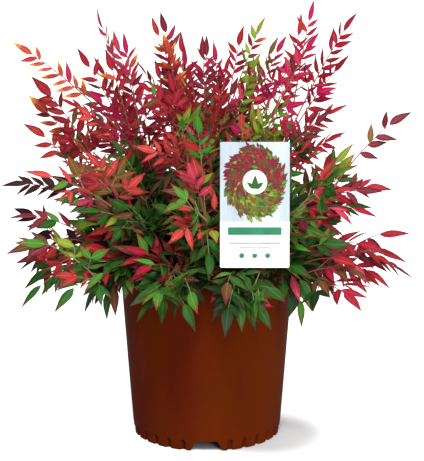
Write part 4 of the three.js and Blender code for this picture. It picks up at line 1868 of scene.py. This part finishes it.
def box_outline(left: float, low: float, right: float, high: float, corner: float = 0.0) -> Outline:
    """The outline of a rectangle.

    Args:
        left: Where it starts across.
        low: Where it starts upwards.
        right: Where it ends across.
        high: Where it ends upwards.
        corner: The radius of its round corners.

    Returns:
        Its places, anticlockwise.
    """
    if not corner:
        return [(left, low), (right, low), (right, high), (left, high)]
    outline = []
    for x, y, start in ((right - corner, low + corner, -90), (right - corner, high - corner, 0),
                        (left + corner, high - corner, 90), (left + corner, low + corner, 180)):
        for degrees in range(start, start + 91, 15):
            angle = math.radians(degrees)
            outline.append((x + corner * math.cos(angle), y + corner * math.sin(angle)))
    return outline


@dataclass(frozen=True)
class LabelStake:
    """The flat plastic stake behind the card."""

    half_width: float = 5.5
    half_thickness: float = 0.55
    edge: float = 0.3
    steps: int = 10  # between two of its places
    out: float = -0.6  # how far its middle is behind the card
    bends: Outline = ((-76, 140), (-77, 198), (-87, 227), (-124, 247))  # behind and up, from the soil on
    ends: tuple[float, ...] = (14, 34, 80)  # up the card, where it lies against its back

    def line(self) -> list[Vector]:
        """The places along the stake's middle, from the soil to the card, on one smooth curve."""
        places = [Vector((LABEL.bottom.x, y, z)) for y, z in self.bends]
        places += [LABEL.place(0, up, self.out) for up in self.ends]
        ends = [places[0] * 2 - places[1], *places, places[-1] * 2 - places[-2]]
        line = []
        for a, b, c, d in zip(ends, ends[1:], ends[2:], ends[3:]):
            for t in (i / self.steps for i in range(self.steps)):
                bent = (2 * a - 5 * b + 4 * c - d) * t**2 + (3 * b - a - 3 * c + d) * t**3
                line.append(0.5 * (2 * b + (c - a) * t + bent))
        return [*line, places[-1]]

    def mesh(self) -> Mesh:
        """The stake as a closed strip."""
        wide, thick, edge = self.half_width, self.half_thickness, self.edge
        section = [(wide, edge - thick), (wide, thick - edge), (wide - edge, thick), (edge - wide, thick),
                   (-wide, thick - edge), (-wide, edge - thick), (edge - wide, -thick), (wide - edge, -thick)]
        line = self.line()
        across = Vector((1, 0, 0))
        rings = []
        for before, middle, after in zip([line[0], *line], line, [*line[1:], line[-1]]):
            off = (after - before).normalized().cross(across)
            rings.append([middle + across * x + off * y for x, y in section])
        return loft("stake", np.array(rings))


@dataclass(frozen=True)
class LabelPrint:
    """A plain printed design: a wreath of leaves on a pale panel over a green band and rules."""

    card: LabelCard = LABEL
    corner: float = 1.6
    panel_height: float = 92
    ink: float = 0.1  # how thick each printed layer stands
    wreath_layers: tuple[float, float] = (2.5, 11.0)  # between which its leaves lie
    medallion: float = 14.0
    oval: tuple[float, float] = (34.5, 42.0)  # the half axes of the wreath
    leaves: int = 1500
    leaf: float = 6.8
    sprig: Outline = ((90, 16), (38, 12.5), (142, 12.5))  # the turn and length of its leaves
    rules: Outline = ((30, 0.5), (30, 1.4), (17, 1.0))  # half their width, and their height

    @property
    def panel(self) -> tuple[float, float, float]:
        """The heights of the panel's lower edge, middle and upper edge."""
        low = self.card.height - self.panel_height
        return low, (low + self.card.height) / 2, self.card.height

    def inks(self) -> list[tuple[GrownFinish, int, Outline]]:
        """Every flat printed shape with its finish and its layer."""
        half = self.card.width / 2
        low, middle, top = self.panel
        shapes = [
            (PRINT_SKY, 0, box_outline(-half, low, half, top, self.corner)),
            (PRINT_SHADE, 1, disc_outline(0, middle, self.oval[1] - 3, self.oval[0] / self.oval[1])),
            (PRINT_CREAM, 18, disc_outline(0, middle, self.medallion)),
            (PRINT_GREEN, 1, box_outline(-half + 9, low - 15, half - 9, low - 6, 1.2)),
        ]
        for i, (width, height) in enumerate(self.rules):
            at = low - 20.5 - 4.6 * i
            shapes.append((PRINT_GREY, 1, box_outline(-width, at, width, at + height)))
        return shapes + [(PRINT_GREEN, 1, disc_outline(across, low - 39, 3.0)) for across in (-15, 0, 15)]

    def leaf_points(self) -> Sprigs:
        """The printed leaves: a dense wreath, red above and green below, round a bare disc."""
        sprigs = Sprigs()
        wide, high = self.oval
        middle = self.panel[1]
        face = self.card.place(0, 0, 1) - self.card.bottom
        for i in range(self.leaves):
            x, y = (lerp(-half, half, spread_out(i, golden)) for half, golden in zip(self.oval, GOLDEN))
            outside = math.hypot(x / wide, y / high) > 0.92 + 0.08 * vary(i, 1, 1)
            if outside or math.hypot(x, y) < self.medallion:
                continue
            angle = math.atan2(y, x) + 0.95 + 0.6 * vary(i, 3, 3)
            out = self.card.thickness + self.ink * lerp(*self.wreath_layers, i / self.leaves)
            green = y / high + 0.2 * vary(i, 5, 5) < -0.3
            tints = TURNING if green else WINES if vary(i, 6, 6) > -0.6 else LEAFY
            tint = Colouring.pick(tints, 0.5 + 0.5 * vary(i, 7, 7))
            length = self.leaf * (1 + 0.3 * vary(i, 2, 2))
            base = self.card.place(x, middle + y, out)
            sprigs.leaflet(base, self.card.heading(angle), face, length, tint, i)
        base = self.card.place(0, middle - 7.5, self.card.thickness + 20 * self.ink)
        for turn, length in self.sprig:
            sprigs.leaflet(base, self.card.heading(math.radians(turn)), face, length, Tint.DEEP, turn)
        sprigs.sizes = [(x, 1.35 * y, 0.3) for x, y, _ in sprigs.sizes]
        sprigs.shapes = [3] * len(sprigs.shapes)
        return sprigs

    def build(self, trees: FoliageTrees) -> None:
        """Makes the card with its stake, the printed inks and the printed leaves.

        Args:
            trees: The trees of nodes that make leaves.
        """
        half, front = self.card.width / 2, self.card.thickness
        card = prism(box_outline(-half, 0, half, self.card.height, self.corner), 0, front)
        placed(joined("label_card", [(CARD, card), (CARD, LabelStake().mesh())]), ["label"])
        prints = [(finish, prism(shape, front - 0.02, front + self.ink * (layer + 1)))
                  for finish, layer, shape in self.inks()]
        placed(joined("label_print", prints))
        placed(trees.leaflets("label_print_leaves", self.leaf_points()))


# ---------------------------------------------------------------- studio


Place = tuple[float, float, float]


@dataclass(frozen=True)
class Studio:
    """A pale floor with a painted shadow by the pot, soft light and the camera."""

    camera_place: Place = (6.7, -1700.0, 590.0)
    camera_down: float = 11.04  # degrees under the horizon
    focal_pixels: float = 1375.0
    picture_height: float = 461.0
    sensor: float = 36.0
    suns: tuple[tuple[str, Place, float, float], ...] = (
        ("key", (0.04, -0.8, 1.05), 3.3, 20), ("back", (0.0, 0.7, 1.2), 0.6, 40),
    )  # name, direction, strength and spread in degrees
    strip_place: Place = (430, -1280, 420)
    strip_aim: Place = (0, 0, 160)
    strip_size: tuple[float, float] = (200, 900)
    strip_power: float = 10.0
    floor_half: float = 60000.0
    floor_top: float = -0.4
    floor_grey: float = 0.6
    floor_glow: float = 0.85  # how much brighter the floor looks than it lights
    surround: float = 0.35  # how brightly the surround lights the plant
    painted_shadows: tuple[tuple[Place, tuple[float, float]], ...] = (
        ((0.075, -0.03, 0.0), (0.045, 0.11)), ((0.0, 0.0, 0.0), (0.084, 0.094)),
    )  # the middles of a painted shadow right of the pot and of one under its foot, where the floor's glow is withheld so its darker lit grey shows, and how far from there the glow sets in, in metres

    def build(self) -> None:
        """Makes the floor, the lights and the camera."""
        self._floor()
        self._world()
        for name, direction, strength, spread in self.suns:
            light = bpy.data.lights.new(name, "SUN")
            light.energy, light.angle = strength, math.radians(spread)
            self._put(light, (0, 0, 0), Vector(direction))
        light = bpy.data.lights.new("strip", "AREA")
        light.shape = "RECTANGLE"
        light.size, light.size_y = (size * MM for size in self.strip_size)
        light.energy = self.strip_power
        self._put(light, self.strip_place, Vector(self.strip_place) - Vector(self.strip_aim))
        camera = bpy.data.cameras.new("camera")
        camera.sensor_width = self.sensor
        camera.lens = self.focal_pixels / self.picture_height * self.sensor
        camera.clip_end = 2 * self.floor_half * MM
        made = self._put(camera, self.camera_place, UP)
        made.rotation_euler = (math.radians(90 - self.camera_down), 0, 0)
        bpy.context.scene.camera = made
        bpy.context.scene.view_settings.view_transform = "Standard"

    def _floor(self) -> None:
        """The floor, which runs far behind the plant and glows to look white, except in painted shadows by
        the pot.
        """
        white = (1.0, 1.0, 1.0, 1.0)
        grey = (self.floor_grey, self.floor_grey, self.floor_grey, 1.0)
        material = plain_material("floor_white", Base_Color=grey, Roughness=1.0, Specular_IOR_Level=0.0,
                                  Emission_Color=white)
        writer = NodeWriter(material.node_tree)
        glow = self._seen(writer, 0.0, self.floor_glow)
        # painted shadow: round each middle the glow fades out, so the floor shows darker there, right of the
        # pot and under its foot
        for middle, ring in self.painted_shadows:
            place = writer.value("ShaderNodeNewGeometry")
            spread = writer.value("ShaderNodeVectorMath", {"operation": "DISTANCE"}, place, middle)
            share = writer.value("ShaderNodeMapRange", {"interpolation_type": "SMOOTHSTEP"}, spread, *ring)
            glow = writer.value("ShaderNodeMath", {"operation": "MULTIPLY"}, share, glow)
        writer.fill(material.node_tree.nodes["Principled BSDF"], Emission_Strength=glow)
        mesh = bpy.data.meshes.new("floor")
        half, top = self.floor_half * MM, self.floor_top * MM
        mesh.from_pydata([(-half, -half, top), (half, -half, top), (half, half, top), (-half, half, top)], [],
                         [(0, 1, 2, 3)])
        mesh.materials.append(material)
        shown("floor", mesh)

    def _world(self) -> None:
        """An even surround that lights softly and looks white."""
        world = bpy.data.worlds.new("surround")
        bpy.context.scene.world = world
        world.use_nodes = True
        writer = NodeWriter(world.node_tree)
        seen = self._seen(writer, self.surround, 1.0)
        writer.fill(world.node_tree.nodes["Background"], (1.0, 1.0, 1.0, 1.0), seen)

    @staticmethod
    def _seen(writer: NodeWriter, lit: float, seen: float) -> NodeSocket:
        """One value for the light that something gives, and another for how it looks."""
        ray = writer.value("ShaderNodeLightPath")
        return writer.value("ShaderNodeMapRange", None, ray, To_Min=lit, To_Max=seen)

    @staticmethod
    def _put(data: bpy.types.ID, place: Place, back: Vector) -> Object:
        """Puts a light or the camera into the scene.

        Args:
            data: The light or camera.
            place: Where it stands.
            back: Where its back looks.

        Returns:
            Its object.
        """
        made = bpy.data.objects.new(data.name, data)
        made.location = Vector(place) * MM
        made.rotation_euler = back.to_track_quat("Z", "Y").to_euler()
        bpy.context.scene.collection.objects.link(made)
        return made


def main() -> None:
    """Builds the looks of the whole part round the frame."""
    logging.basicConfig(level=logging.INFO, format="%(message)s")
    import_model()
    clump = Clump()
    trees = FoliageTrees()
    PotForm().build()
    Mulch().build()
    Canes().build(clump)
    Foliage().build(clump, trees)
    LabelPrint().build(trees)
    dropped(trees.shapes)
    Studio().build()


if __name__ == "__main__":
    main()
